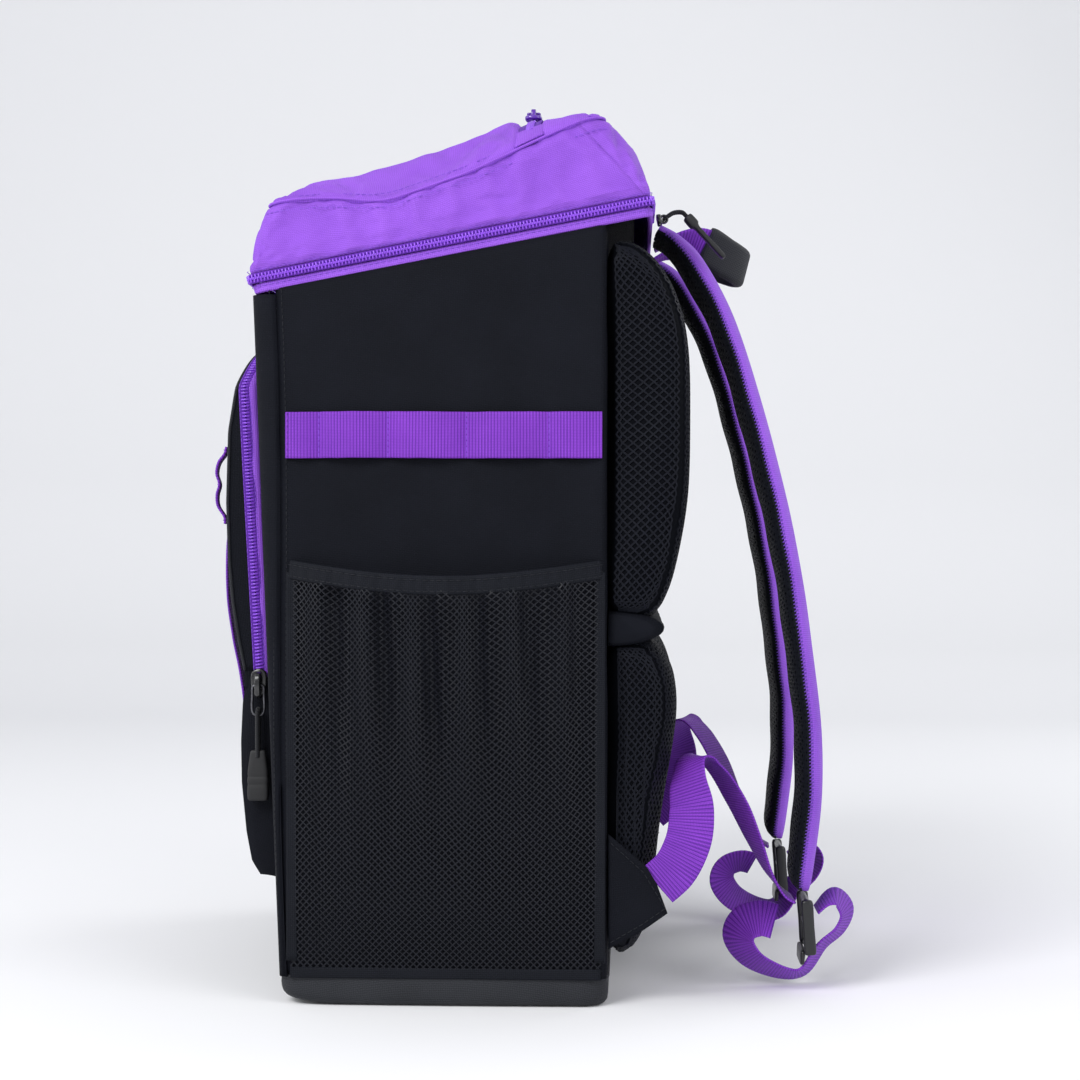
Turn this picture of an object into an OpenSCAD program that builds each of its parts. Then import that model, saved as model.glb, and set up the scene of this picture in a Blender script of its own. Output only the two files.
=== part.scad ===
// Skate backpack: a stiffened fabric body with a hooded zip lid, a fold-down front pocket,
// mesh side pockets, an air-mesh back and two padded shoulder straps.
// +Z is up, -Y is the front, +Y is the wearer's side. The origin is the middle of the base face.

/* [Body] */
// Width across the side panels
body_w = 300; // [280:5:320]
// Distance from the middle to the back panel's outer face
body_back = 88; // [86:1:90]
// Distance from the middle to the foot of the front panel
body_front = 87; // [84:1:88]
// How far the front panel leans out at the lid zip
front_lean = 15.5; // [10:0.5:16]
// Thickness of a fabric wall
wall = 3; // [2.5:0.5:3]
// Height of the base boot
boot_h = 15; // [12:1:16]

/* [Lid] */
// Height of the lid zip at the front
zip_front_z = 388.5; // [386:0.5:389]
// Distance from the middle to the front of the lid zip
zip_front = 103; // [102.5:0.5:103]
// Slope of the lid zip in degrees
zip_tilt = 10.76; // [10.5:0.02:11]
// Length of the lid zip's side run, along its slope
zip_run = 220; // [219:0.5:221]
// Where the lid pocket's zip crosses the lid
lid_zip_y = 46; // [44:1:48]

/* [Side pockets and webbing] */
// Width of the purple webbing
webbing_w = 25; // [20:1:26]
// Thickness of the webbing
webbing_t = 1.4; // [1:0.1:1.6]
// Height of the side strip's lower edge
strip_z = 292.5; // [280:0.5:300]
// How far each side loop bulges
strip_bulge = 3; // [1:0.5:4]
// Height of the mesh pocket's elastic at its ends
mesh_top = 238; // [220:1:245]
// How far the elastic sags in the middle
mesh_sag = 8; // [2:1:10]
// How far the mesh pocket stands off the side at its mouth
mesh_depth = 18; // [12:1:20]

/* [Front pocket] */
// Half of the front pocket's width
pocket_half = 117; // [110:1:120]
// Height of the front pocket's top
pocket_top = 353; // [350:1:355]
// Height at which the flap folds down
fold_z = 174; // [170:1:178]
// How far the pocket's middle bulges past its corners
pocket_crown = 14; // [8:1:14]

/* [Back and straps] */
// Half of the gap between the two upper back pads
spine_gap = 8; // [6:1:14]
// Width of a shoulder strap at its shoulder
strap_w = 68; // [60:1:70]

/* [Hidden] */
half = body_w / 2;
clear = 0.3;
purple = "#7a34cf";
black = "#1c1e23";

// ---- shapes that repeat -------------------------------------------------

function unit(v) = v / norm(v);
function mix(a, b, t) = a + (b - a) * t;

// A smooth curve through points, n steps to each stretch
function through(p0, p1, p2, p3, t) =
    0.5 * (2 * p1 + (p2 - p0) * t + (2 * p0 - 5 * p1 + 4 * p2 - p3) * t * t
    + (3 * p1 - p0 - 3 * p2 + p3) * t * t * t);
function smooth(p, n) = let (last = len(p) - 1) concat(
    [for (i = [0 : last - 1]) for (k = [0 : n - 1])
        through(p[max(i - 1, 0)], p[i], p[i + 1], p[min(i + 2, last)], k / n)],
    [p[last]]);

function reversed(p) = [for (i = [len(p) - 1 : -1 : 0]) p[i]];
function tangent(p, i) = unit(p[min(i + 1, len(p) - 1)] - p[max(i - 1, 0)]);

// A path moved sideways in its own side view: positive is out, away from the bag
function moved_out(p, d) = [
    for (i = [0 : len(p) - 1]) p[i] + unit(cross([1, 0, 0], tangent(p, i))) * d];

// A flat band carried along a path; side holds the half-width vector at each point
module band(path, side, thick) {
    n = len(path);
    up = [for (i = [0 : n - 1]) unit(cross(tangent(path, i), side[i])) * thick / 2];
    points = [for (i = [0 : n - 1]) for (c = [[-1, -1], [1, -1], [1, 1], [-1, 1]])
        path[i] + side[i] * c[0] + up[i] * c[1]];
    walls = [for (i = [0 : n - 2]) for (k = [0 : 3]) let (a = 4 * i + k, b = 4 * i + (k + 1) % 4)
        each [[a, a + 4, b + 4], [a, b + 4, b]]];
    last = 4 * (n - 1);
    ends = [[0, 1, 2], [0, 2, 3], [last + 2, last + 1, last], [last + 3, last + 2, last]];
    polyhedron(points, concat(walls, ends));
}

// A closed sheet between two grids of points; columns turned to rows point out of the front
module sheet(front, back) {
    n = len(front);
    m = len(front[0]);
    q = n * m;
    points = concat([for (r = front) for (p = r) p], [for (r = back) for (p = r) p]);
    skins = [for (i = [0 : n - 2]) for (j = [0 : m - 2])
        let (a = i * m + j, b = a + 1, c = a + m + 1, d = a + m)
        each [[a, d, c], [a, c, b], [q + a, q + c, q + d], [q + a, q + b, q + c]]];
    ends = [for (j = [0 : m - 2]) let (a = j, b = j + 1, c = q - m + j, d = q - m + j + 1)
        each [[a, b, q + b], [a, q + b, q + a], [d, c, q + c], [d, q + c, q + d]]];
    edges = [for (i = [0 : n - 2])
        let (a = i * m, b = a + m, c = a + m - 1, d = b + m - 1)
        each [[b, a, q + a], [b, q + a, q + b], [c, d, q + d], [c, q + d, q + c]]];
    polyhedron(points, concat(skins, ends, edges));
}

// A side view outline (Y, Z) carried across the bag from x0 to x1
module across(x0, x1, outline)
    translate([x0, 0, 0]) rotate([90, 0, 90]) linear_extrude(x1 - x0) polygon(outline);

module both_sides(side) mirror([side < 0 ? 1 : 0, 0, 0]) children();

// The sloping plane of the lid zip: its own y runs up the slope, its z stands off it
module zip_plane() translate([0, -zip_front, zip_front_z]) rotate([zip_tilt, 0, 0]) children();
function zip_z(y) = zip_front_z + (y + zip_front) * tan(zip_tilt);

// ---- body ---------------------------------------------------------------

rim_drop = 8;
lean_top = 376;
function front_y(z) = -body_front - front_lean * z / lean_top;
function rim_z(y) = zip_z(y) - rim_drop / cos(zip_tilt);
front_rim = rim_z(front_y(lean_top));
board_t = 3;
sheet_t = 3;

module side_panel(side) color(black) both_sides(side) across(half - wall, half, [
    [front_y(boot_h) + wall, boot_h], [body_back - wall, boot_h],
    [body_back - wall, rim_z(body_back - wall)],
    [front_y(front_rim) + wall, rim_z(front_y(front_rim) + wall)]
]);

module front_panel() color(black) across(-half, half, [
    [front_y(boot_h), boot_h], [front_y(boot_h) + wall, boot_h],
    [front_y(front_rim) + wall, rim_z(front_y(front_rim) + wall)],
    [front_y(front_rim), rim_z(front_y(front_rim))]
]);

module back_panel() color(black) across(-half, half, [
    [body_back - wall, boot_h], [body_back, boot_h], [body_back, rim_z(body_back)],
    [body_back - wall, rim_z(body_back - wall)]
]);

module base_boot() color(black) difference() {
    across(-half, half, [
        [-body_front, 0], [body_back, 0], [body_back, boot_h], [front_y(boot_h), boot_h]
    ]);
    across(-half + wall, half - wall, [
        [-body_front + wall, wall], [body_back - wall, wall], [body_back - wall, boot_h + wall],
        [front_y(boot_h + wall) + wall, boot_h + wall]
    ]);
}

module base_board() color("#2a2b2e")
    translate([-half + 2 * wall, -body_front + 2 * wall, wall])
        cube([body_w - 4 * wall, body_front + body_back - 4 * wall, board_t]);

module frame_sheet() color("#2a2b2e")
    translate([-half + 15, body_back - wall - sheet_t - 0.2, 20]) cube([body_w - 30, sheet_t, 380]);

// A ring round the mouth, in the zip plane, between two heights
module mouth_ring(out, thick, z0, z1) zip_plane() translate([0, 0, z0]) difference() {
    translate([-half - out, -out, 0]) cube([body_w + 2 * out, zip_run - 2.2 + 2 * out, z1 - z0]);
    translate([-half - out + thick, thick - out, -1])
        cube([body_w + 2 * out - 2 * thick, zip_run - 2.2 + 2 * out - 2 * thick, z1 - z0 + 2]);
}

module collar_band() color(purple) mouth_ring(0, wall, -rim_drop + 0.2, -2.8);

// One half of the lid zip: sides, front and a short run round each rear corner
zip_end_x = 84;
module lid_zip_half(z0, z1) color("#5b1fb0") difference() {
    mouth_ring(1.4, 4.4, z0, z1);
    zip_plane() translate([-zip_end_x, zip_run - 12, -12]) cube([2 * zip_end_x, 30, 24]);
}
module lid_zip_lower() lid_zip_half(-2.6, -clear);
module lid_zip_upper() lid_zip_half(clear, 2.6);

// The folded fabric that hinges the lid, between the ends of the zip
module lid_hinge_binding() color(purple) zip_plane()
    translate([-zip_end_x + 1, zip_run - 4, -2.6]) cube([2 * zip_end_x - 2, 2.6, 5.2]);

// ---- side webbing and mesh pockets --------------------------------------

strip_seams = [-84, -66, -29, 13, 57, 85];
strip_steps = 10;
function strip_bow(t) = strip_bulge * sin(180 * t);
function strip_line(off) = concat(
    [for (i = [0 : len(strip_seams) - 2]) for (k = [0 : strip_steps - 1]) let (t = k / strip_steps)
        [half + clear + off + strip_bow(t), mix(strip_seams[i], strip_seams[i + 1], t)]],
    [[half + clear + off, strip_seams[len(strip_seams) - 1]]]);

module side_strip(side) color(purple) both_sides(side) translate([0, 0, strip_z])
    linear_extrude(webbing_w) polygon(concat(strip_line(0), reversed(strip_line(webbing_t))));

mesh_foot = 18;
mesh_rear = 85;
mesh_front = -82;
mesh_t = 1.2;
elastic_h = 10;
function mesh_t_of(j) = j / 16;
function mesh_y(j) = mix(mesh_front, mesh_rear, mesh_t_of(j));
function mouth_z(j) = mesh_top - mesh_sag * sin(180 * mesh_t_of(j));
function mesh_swell(j) = 1 - pow(abs(2 * mesh_t_of(j) - 1), 3);
// How far the pocket stands off the side at a share s of its height
function mesh_off(s) = mesh_depth * (0.35 * min(1, 6 * s) + 0.65 * s);
function mesh_row(s, drop, out) = [for (j = [0 : 16])
    [half + clear + mesh_off(s) * mesh_swell(j) + out, mesh_y(j), mix(mesh_foot, mouth_z(j) - drop, s)]];

module mesh_pocket(side) color("#24262b") both_sides(side) {
    rows = [0, 0.04, 0.08, 0.13, 0.17, 0.35, 0.6, 0.8, 1];
    sheet([for (s = rows) mesh_row(s, elastic_h, mesh_t)], [for (s = rows) mesh_row(s, elastic_h, 0)]);
}

elastic_t = 2;
module pocket_elastic(side) color(black) both_sides(side) sheet(
    [mesh_row(1, elastic_h, elastic_t), mesh_row(1, 0, elastic_t)],
    [mesh_row(1, elastic_h, 0), mesh_row(1, 0, 0)]);

// ---- back ---------------------------------------------------------------

pad_gap = 0.3;
module back_pad(side) color("#202226") both_sides(side) across(spine_gap, half - 4, [
    [body_back + pad_gap, 205], [108, 204], [117, 212], [124, 232], [130, 275], [131, 330], [130.5, 356],
    [127, 376], [120, 393], [111, 405], [101, 413], [body_back + pad_gap, rim_z(body_back) - 1]
]);

lumbar_inset = 5.8;
module lumbar_pad() color("#202226") across(-half + lumbar_inset, half - lumbar_inset, [
    [body_back + pad_gap, 23], [102, 26], [109, 60], [114, 100], [121, 140], [123.5, 162], [121, 182],
    [112, 197], [104, 199], [body_back + pad_gap, 199]
]);

module anchor_wing(side) color(black) both_sides(side) across(half - 3.4, half - 0.4, [
    [body_back + pad_gap, 31], [107.5, 41.7], [122.5, 52.4], [108.6, 75.4], [body_back + pad_gap, 92.5]
]);

// ---- front pocket -------------------------------------------------------

// The pocket's side outline: [height, distance of its corner in front of the middle]
pocket_line = [
    [64, 104], [72, 109], [88, 112], [115, 114.6], [138, 115], [160, 114], [173, 111.5], [193, 115.5],
    [215, 119], [237, 121], [270, 122], [309, 121], [334, 117], [353, 109]
];
function corner_y(z) = -lookup(z, pocket_line);
pocket_r = 26;
pocket_t = 2.4;
zip_foot = 175;
// The pocket zip in side view: [height, distance in front of the middle]
zip_line = [[100, 99.7], [zip_foot, 103.8], [300, 110.7], [334, 112.4], [356, 104]];
function pzip_y(z) = -lookup(z, zip_line);
// Half-width of the pocket at a height, with its rounded top corners
function half_at(z) = z <= pocket_top - pocket_r ? pocket_half
    : pocket_half - pocket_r + sqrt(max(0, pow(pocket_r, 2) - pow(z - pocket_top + pocket_r, 2)));
// How far the pocket's middle stands out: most half way up each part, less at the fold
function crown_at(z) = let (rise = min(1, max(0, (z - 60) / (pocket_top - 54))))
    pocket_crown * sin(180 * rise) * (0.55 + 0.45 * min(1, abs(z - fold_z) / 40));
function pocket_point(z, s, inset) = let (w = half_at(z) - inset)
    [w * s, corner_y(z) - crown_at(z) * (1 - s * s) + inset, z];

// The run of the pocket zip: up one side, over the top and down the other
function zip_arch(out, z0, steps) = let (
    h = pocket_half + out,
    top = pocket_top + out,
    r = pocket_r + out,
    side = [for (k = [0 : steps]) let (z = mix(z0, top - r, k / steps)) [h, pzip_y(z), z]],
    turn = [for (a = [15 : 15 : 90]) let (z = top - r + r * sin(a))
        [h - r + r * cos(a), pzip_y(z), z]],
    half_run = concat(side, turn)
) concat(half_run, [for (q = reversed(half_run)) [-q[0], q[1], q[2]]]);
function shifted(p, d) = [for (q = p) q + [0, d, 0]];
function wide(p, w) = [for (q = p) [0, w / 2, 0]];

module pocket_gusset() color(purple) {
    path = zip_arch(-pocket_t / 2, zip_foot, 5);
    inner = [for (q = path) [q[0], front_y(q[2]) - 0.1, q[2]]];
    outer = shifted(path, 0.6);
    middle = (inner + outer) / 2;
    band(middle, (inner - outer) / 2, pocket_t);
}

module pocket_zip_inner() color("#5b1fb0") {
    path = shifted(zip_arch(0.8, zip_foot, 5), 1.6);
    band(path, wide(path, 2.4), 1.4);
}

pocket_shares = [for (j = [-6 : 6]) j / 6];
module pocket_lower_panel() color(black) {
    heights = [64, 72, 88, 115, 138, 160, 171.5];
    sheet([for (z = heights) [for (s = pocket_shares) pocket_point(z, s, 0)]],
        [for (z = heights) [for (s = pocket_shares) pocket_point(z, s, pocket_t)]]);
    for (side = [-1, 1]) both_sides(side) across(pocket_half - pocket_t, pocket_half, concat(
        [for (z = heights) [corner_y(z) + pocket_t + 0.1, z]],
        [[front_y(171.5) - 0.1, 171.5], [front_y(64) - 0.1, 64]]));
    across(-pocket_half + pocket_t, pocket_half - pocket_t,
        [[front_y(64) - 0.1, 61.6], [-104, 61.6], [-104, 63.9], [front_y(64) - 0.1, 63.9]]);
}

flap_foot = 177;
flap_heights = [flap_foot, 193, 215, 237, 270, 309, 327, 334, 342, 348, 352];
module pocket_front_panel() color(black) {
    sheet([for (z = flap_heights) [for (s = pocket_shares) pocket_point(z, s, 0)]],
        [for (z = flap_heights) [for (s = pocket_shares) pocket_point(z, s, pocket_t)]]);
    path = zip_arch(-pocket_t / 2, flap_foot, 5);
    inner = shifted(path, -1);
    outer = [for (q = path) [q[0], min(corner_y(q[2]) + pocket_t + 0.2, pzip_y(q[2]) - 2), q[2]]];
    band((inner + outer) / 2, (inner - outer) / 2, pocket_t);
}

module pocket_zip_outer() color("#5b1fb0") {
    path = shifted(zip_arch(0.8, flap_foot, 5), -1.4);
    band(path, wide(path, 2.2), 1.4);
}

// A looped tab of webbing on the pocket's front corner
tab_route = [
    [101, -126.2, 262], [101, -129.6, 268], [101, -130.6, 280], [101, -129.6, 292], [101, -125.2, 298]
];
module webbing_tab(side) color(purple) both_sides(side) {
    path = smooth(tab_route, 4);
    band(path, [for (q = path) unit([1, 0.16, 0]) * webbing_w / 2], webbing_t);
}

// The webbing down the middle of the pocket, loose between its two bar tacks
centre_route = [
    [0, -134, 301], [0, -138.4, 285], [0, -139.6, 267], [0, -143, 245], [0, -142.8, 215], [0, -139, 190],
    [0, -135, 170], [0, -132.4, 150], [0, -131.4, 130]
];
module centre_strap() color(purple) {
    path = smooth(centre_route, 3);
    band(path, [for (q = path) [webbing_w / 2, 0, 0]], webbing_t);
}

// ---- front pocket slider and its puller ---------------------------------

slider_x = pocket_half + 2.1;
slider_y = pzip_y(zip_foot);
loop_x = slider_x + 4.2;
loop_z = zip_foot - 6;
loop_t = 1.5;
module pocket_slider() color("#101114") difference() {
    union() {
        translate([slider_x, slider_y, loop_z + 1]) rotate([0, 90, 0]) linear_extrude(3) polygon([
            [-9, -4.4], [-7, -5], [5, -4], [6, -2.5], [6, 2.5], [5, 4], [-7, 5], [-9, 4.4]
        ]);
        translate([loop_x, slider_y + 1.6, loop_z]) rotate([90, 0, 0])
            cylinder(r = 3.6, h = 3.2, $fn = 32);
    }
    translate([loop_x, slider_y + 5, loop_z]) rotate([90, 0, 0]) cylinder(r = 1.5, h = 10, $fn = 32);
}

module pocket_wire_loop() color("#2a2b2e") {
    path = smooth([
        [loop_x, slider_y - 2.6, loop_z + 0.6], [loop_x + 0.2, slider_y - 3.2, loop_z - 5],
        [loop_x + 0.3, slider_y - 3.4, loop_z - 11], [loop_x + 0.3, slider_y, loop_z - 16],
        [loop_x + 0.3, slider_y + 3.4, loop_z - 11], [loop_x + 0.2, slider_y + 3.2, loop_z - 5],
        [loop_x, slider_y + 2.6, loop_z + 0.6]
    ], 3);
    band(path, [for (q = path) [loop_t / 2, 0, 0]], loop_t);
    translate([loop_x, slider_y + 2, loop_z]) rotate([90, 0, 0]) cylinder(r = 0.8, h = 4, $fn = 24);
}

cord_d = 2.6;
grip_top = 134;
grip_foot = 106;
cord_sides = 8;
// A cord's tube: a ring at each point of a route that bends about one normal
module tube(path, d, normal) {
    n = len(path);
    turns = [for (k = [0 : cord_sides - 1]) 360 * k / cord_sides];
    rings = [for (i = [0 : n - 1]) let (t = tangent(path, i), a = unit(cross(t, normal)), b = cross(t, a))
        each [for (turn = turns) path[i] + (a * cos(turn) + b * sin(turn)) * d / 2]];
    walls = [for (i = [0 : n - 2]) for (k = [0 : cord_sides - 1])
        let (a = cord_sides * i + k, b = cord_sides * i + (k + 1) % cord_sides)
        each [[a, a + cord_sides, b + cord_sides], [a, b + cord_sides, b]]];
    first = [for (k = [0 : cord_sides - 1]) k];
    last = [for (k = reversed(first)) cord_sides * (n - 1) + k];
    polyhedron(rings, concat(walls, [first, last]));
}

pull_x = loop_x + 0.3;
// Both of the cord's ends are moulded into the grip; its loop hangs over the wire's foot
pocket_cord_route = [
    [pull_x + 1.6, slider_y, grip_top + 0.2], [pull_x + 2.2, slider_y, grip_top + 8],
    [pull_x + 2.4, slider_y, loop_z - 16.5], [pull_x + 1.8, slider_y, loop_z - 13.8],
    [pull_x, slider_y, loop_z - 12.7], [pull_x - 1.8, slider_y, loop_z - 13.8],
    [pull_x - 2.4, slider_y, loop_z - 16.5], [pull_x - 2.2, slider_y, grip_top + 8],
    [pull_x - 1.6, slider_y, grip_top + 0.2]
];
module pocket_pull_cord() color(black) tube(smooth(pocket_cord_route, 2), cord_d, [0, 1, 0]);

module pocket_pull_grip() color("#15161a") translate([pull_x, slider_y, grip_foot])
    rotate([0, 0, 90]) hull() {
        for (x = [-2.6, 2.6]) translate([x, 0, grip_top - grip_foot - 3]) cylinder(r = 2, h = 3, $fn = 32);
        for (x = [-3.6, 3.6]) translate([x, 0, 0]) cylinder(r = 2.4, h = 18, $fn = 32);
    }

// ---- lid ----------------------------------------------------------------

// The lid's top edge at its sides, and how much higher its middle stands
lid_edge = [[-95, 427], [-85, 430], [-60, 431], [-32, 428], [15, 444], [45, 458], [78, 473], [86, 473]];
lid_crown = [[-95, 0], [-85, 9], [-60, 13], [-32, 24], [15, 24], [45, 23], [78, 9], [86, 1]];
top_t = 2.4;
function lid_z(x, y) = lookup(y, lid_edge) + lookup(y, lid_crown) * (1 - pow(abs(x) / half, 6));
lid_shares = [-1, -0.95, -0.87, -0.75, -0.5, -0.25, 0, 0.25, 0.5, 0.75, 0.87, 0.95, 1];
module lid_sheet(rows, w, low, high) sheet(
    [for (y = rows) [for (s = lid_shares) [w * s, y, lid_z(w * s, y) + high]]],
    [for (y = rows) [for (s = lid_shares) [w * s, y, lid_z(w * s, y) + low]]]);
zip_gap = 6;

module lid_top_front() color(purple)
    lid_sheet([-95, -90, -85, -72, -60, -46, -32, -8, 15, 28, lid_zip_y - zip_gap], half, 0.1, top_t);
module lid_top_rear() color(purple)
    lid_sheet([lid_zip_y + zip_gap, 65, 78, 86], half, 0.1, top_t);
module lid_pocket_zip() color("#5b1fb0")
    lid_sheet([lid_zip_y - zip_gap + 0.1, lid_zip_y, lid_zip_y + zip_gap - 0.1], half - 12, 0.1, top_t);

patch_w = 32;
module lid_patch() color(purple) lid_sheet([-68, -60, -48, -36], patch_w, top_t + 0.1, top_t + 1.6);

lid_rear = [[86, 473], [93, 462], [104, 448], [112.6, 433]];
module lid_skirt() color(purple) difference() {
    across(-half, half, concat([[-104, zip_z(-104) + 3], [-95, 427]], lid_edge,
        lid_rear, [[112.6, zip_z(112.6) + 3]]));
    across(-half + wall, half - wall, [
        [-102, 380], [-101, zip_z(-101)], [-92, 427], [-92, 520], [83, 520], [83, 473], [90, 460.5],
        [101, 446.5], [109.6, 432], [109.6, 380]
    ]);
}

module lid_lining() color(black) zip_plane()
    translate([-half + wall + 0.5, 5, 3.4]) cube([body_w - 2 * wall - 1, zip_run - 15, 1.6]);

// ---- lid sliders and pullers --------------------------------------------

top_slider_x = 92;
top_slider_z = lid_z(0, lid_zip_y) + top_t + 0.5;
top_pin = 4;
module lid_pocket_slider() color("#5b1fb0")
    translate([top_slider_x, lid_zip_y, top_slider_z]) difference() {
        union() {
            linear_extrude(2.6) polygon([
                [-7, -3], [-6, -4.6], [4, -5], [6, -3], [6, 3], [4, 5], [-6, 4.6], [-7, 3]
            ]);
            translate([0, 1.4, 3.3]) rotate([90, 0, 0]) cylinder(r = 2.8, h = 2.8, $fn = 32);
        }
        translate([0, 4, top_pin]) rotate([90, 0, 0]) cylinder(r = 1, h = 8, $fn = 24);
    }

module lid_pocket_pull() color("#5b1fb0")
    translate([top_slider_x, lid_zip_y, top_slider_z + top_pin]) {
        rotate([90, 0, 0]) translate([0, 0, -3.4]) cylinder(r = 0.7, h = 6.8, $fn = 24);
        for (y = [-4.2, 2.2]) translate([-10, y, -0.7]) cube([10.7, 2, 1.4]);
        translate([-26, -4.2, -0.7]) cube([16, 8.4, 1.4]);
    }

slider_u = zip_run + 0.6;
lid_slider_x = 110;
module lid_slider() color("#101114") zip_plane() translate([lid_slider_x, slider_u, -8.2]) {
    translate([-6.5, 0, 0]) cube([13, 2.6, 6.4]);
    translate([0, 3.6, 3.2]) rotate([0, 90, 0]) difference() {
        translate([0, 0, -1.5]) cylinder(r = 2.6, h = 3, $fn = 32);
        translate([0, 0.3, -3]) cylinder(r = 1.25, h = 6, $fn = 24);
    }
}

// The cord passes through the slider's eye and doubles back into the knob
lid_cord_route = [
    [lid_slider_x + 2.6, 130.55, 427.5], [lid_slider_x + 2.7, 128.4, 429.2],
    [lid_slider_x + 2.9, 124, 429], [lid_slider_x + 2.9, 120.4, 426.9],
    [lid_slider_x + 1.8, 118.55, 425.55], [lid_slider_x, 118.48, 425.5],
    [lid_slider_x - 1.8, 118.55, 425.55], [lid_slider_x - 2.9, 120.4, 426.9],
    [lid_slider_x - 2.9, 124, 429], [lid_slider_x - 2.7, 128.4, 429.2],
    [lid_slider_x - 2.6, 130.55, 427.5]
];
lid_cord_d = 1.8;
module lid_pull_cord() color(black) tube(smooth(lid_cord_route, 2), lid_cord_d, [0, 0.5, -0.87]);

module lid_pull_grip() color("#15161a") translate([lid_slider_x, 131, 427]) rotate([-48, 0, 0]) {
    translate([-5, 0, -3]) cube([10, 7, 6]);
    translate([-4.4, 7, -1.5]) cube([8.8, 24, 3]);
}

// ---- shoulder straps ----------------------------------------------------

// The strap's outer face in side view, from its root at the top of the back
strap_route = [
    [70, 117.5, 426], [70, 129, 419.5], [71, 141.7, 406], [75, 158.7, 372.7], [81, 172.9, 327.4],
    [88, 187, 270.7], [92, 195.6, 225.3], [95, 200, 191], [97, 205, 146], [98, 205, 106], [98, 201, 70],
    [98, 198.6, 56]
];
strap_steps = 2;
strap_path = smooth(strap_route, strap_steps);
cover_t = 2.6;
foam_t = 8;
lining_t = 2.4;
strap_last = len(strap_path) - 1;
// Half of the strap's width: fullest over the shoulder, drawn in at its end
function strap_half(i) = let (t = i / strap_last)
    (strap_w / 2) * (0.9 + 0.1 * sin(180 * min(1, 1.3 * t)) - 1.9 * max(0, t - 0.86));
function strap_sides(inset) = [for (i = [0 : strap_last]) [strap_half(i) - inset, 0, 0]];

module strap_cover(side) color(purple) both_sides(side)
    band(moved_out(strap_path, -cover_t / 2), strap_sides(0), cover_t);
module strap_foam(side) color("#3a3b40") both_sides(side)
    band(moved_out(strap_path, -cover_t - foam_t / 2 - 0.1), strap_sides(2), foam_t);
module strap_mesh(side) color("#202226") both_sides(side)
    band(moved_out(strap_path, -cover_t - foam_t - lining_t / 2 - 0.2), strap_sides(0.5), lining_t);

// A three-bar ladder lock, hung on the strap's end
lock_y = 196.5;
lock_z = 52;
lock_x = 98;
lock_w = 36;
lock_l = 30;
lock_rail = 4;
module ladder_lock(side) color("#101114") both_sides(side)
    translate([lock_x, lock_y, lock_z]) rotate([4, 0, 0]) {
        for (x = [-lock_w / 2, lock_w / 2 - lock_rail]) translate([x, -3.5, -lock_l])
            cube([lock_rail, 7, lock_l]);
        translate([-lock_w / 2 + lock_rail, 0, 0]) {
            for (z = [-4, -lock_l]) translate([0, -2, z]) cube([lock_w - 2 * lock_rail, 4, 4]);
            translate([0, -2, -17]) cube([lock_w - 2 * lock_rail, 4, 5]);
            translate([0, -5.5, -lock_l - 6]) cube([lock_w - 2 * lock_rail, 3.4, 8]);
        }
    }

// The spare webbing below the lock: out behind it, back under and forward in a loose loop
tail_route = [
    [98, 203, 44], [98, 209, 50], [98, 215, 51], [98, 220, 43], [98, 216, 33], [98, 206, 24], [98, 196, 10],
    [98, 184, 9], [98, 168, 16], [98, 160, 27], [99, 163, 36], [100, 172, 39.5], [101, 180, 38]
];
module webbing_tail(side) color(purple) both_sides(side) {
    path = smooth(tail_route, 3);
    band(path, [for (q = path) [webbing_w / 2, 0, 0]], webbing_t);
}

// The webbing from the wing to the lock: up, over with a half twist, and down
lower_route = [
    [145.4, 114.5, 65], [144.6, 124, 74], [142.4, 131, 88], [138, 133, 104], [132, 131, 119],
    [124, 133, 129], [117, 140, 130], [111, 149, 121], [106, 159, 104], [102, 168, 84], [100, 176, 66],
    [99, 184, 54.5], [98.5, 190, 50]
];
lower_across = [
    [0, 0.545, -0.839], [0, 0.72, -0.69], [0.1, 0.9, -0.42], [0.3, 0.93, -0.1], [0.65, 0.72, 0.1],
    [0.9, 0.4, 0], [0.97, 0.2, 0.1], [0.95, 0.25, 0.25], [0.92, 0.3, 0.3], [0.94, 0.25, 0.2],
    [0.98, 0.1, 0.1], [1, 0, 0], [1, 0, 0]
];
module lower_webbing(side) color(purple) both_sides(side) {
    path = smooth(lower_route, 2);
    sides = smooth(lower_across, 2);
    band(path, [for (v = sides) unit(v) * webbing_w / 2], webbing_t);
}

// ---- grab handle --------------------------------------------------------

handle_route = [
    [26, 114.5, 421], [26, 122, 424.5], [25, 132, 426], [22, 144, 424], [16, 155, 418.5],
    [8, 163.5, 414], [0, 167, 412.5]
];
handle_up = [
    [1, 0, 0], [1, 0, 0.1], [0.8, 0.2, 0.5], [0.4, 0.2, 0.9], [0.1, 0.25, 0.97], [0, 0.25, 0.97],
    [0, 0.25, 0.97]
];
function mirrored(p) = concat(p, [for (i = [len(p) - 2 : -1 : 0]) [-p[i][0], p[i][1], p[i][2]]]);
handle_path = smooth(mirrored(handle_route), 2);
handle_side = smooth(mirrored(handle_up), 2);
sleeve_from = 6;
module handle_part(first, last, w, t) {
    path = [for (i = [first : last]) handle_path[i]];
    sides = [for (i = [first : last]) let (along = tangent(handle_path, i))
        unit(cross(cross(along, handle_side[i]), along))];
    band(path, sides * w / 2, t);
}
module grab_handle() color(purple) {
    last = len(handle_path) - 1;
    handle_part(0, sleeve_from, 20, 2);
    handle_part(last - sleeve_from, last, 20, 2);
}
module handle_sleeve() color(black)
    handle_part(sleeve_from, len(handle_path) - 1 - sleeve_from, 23, 7);

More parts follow.
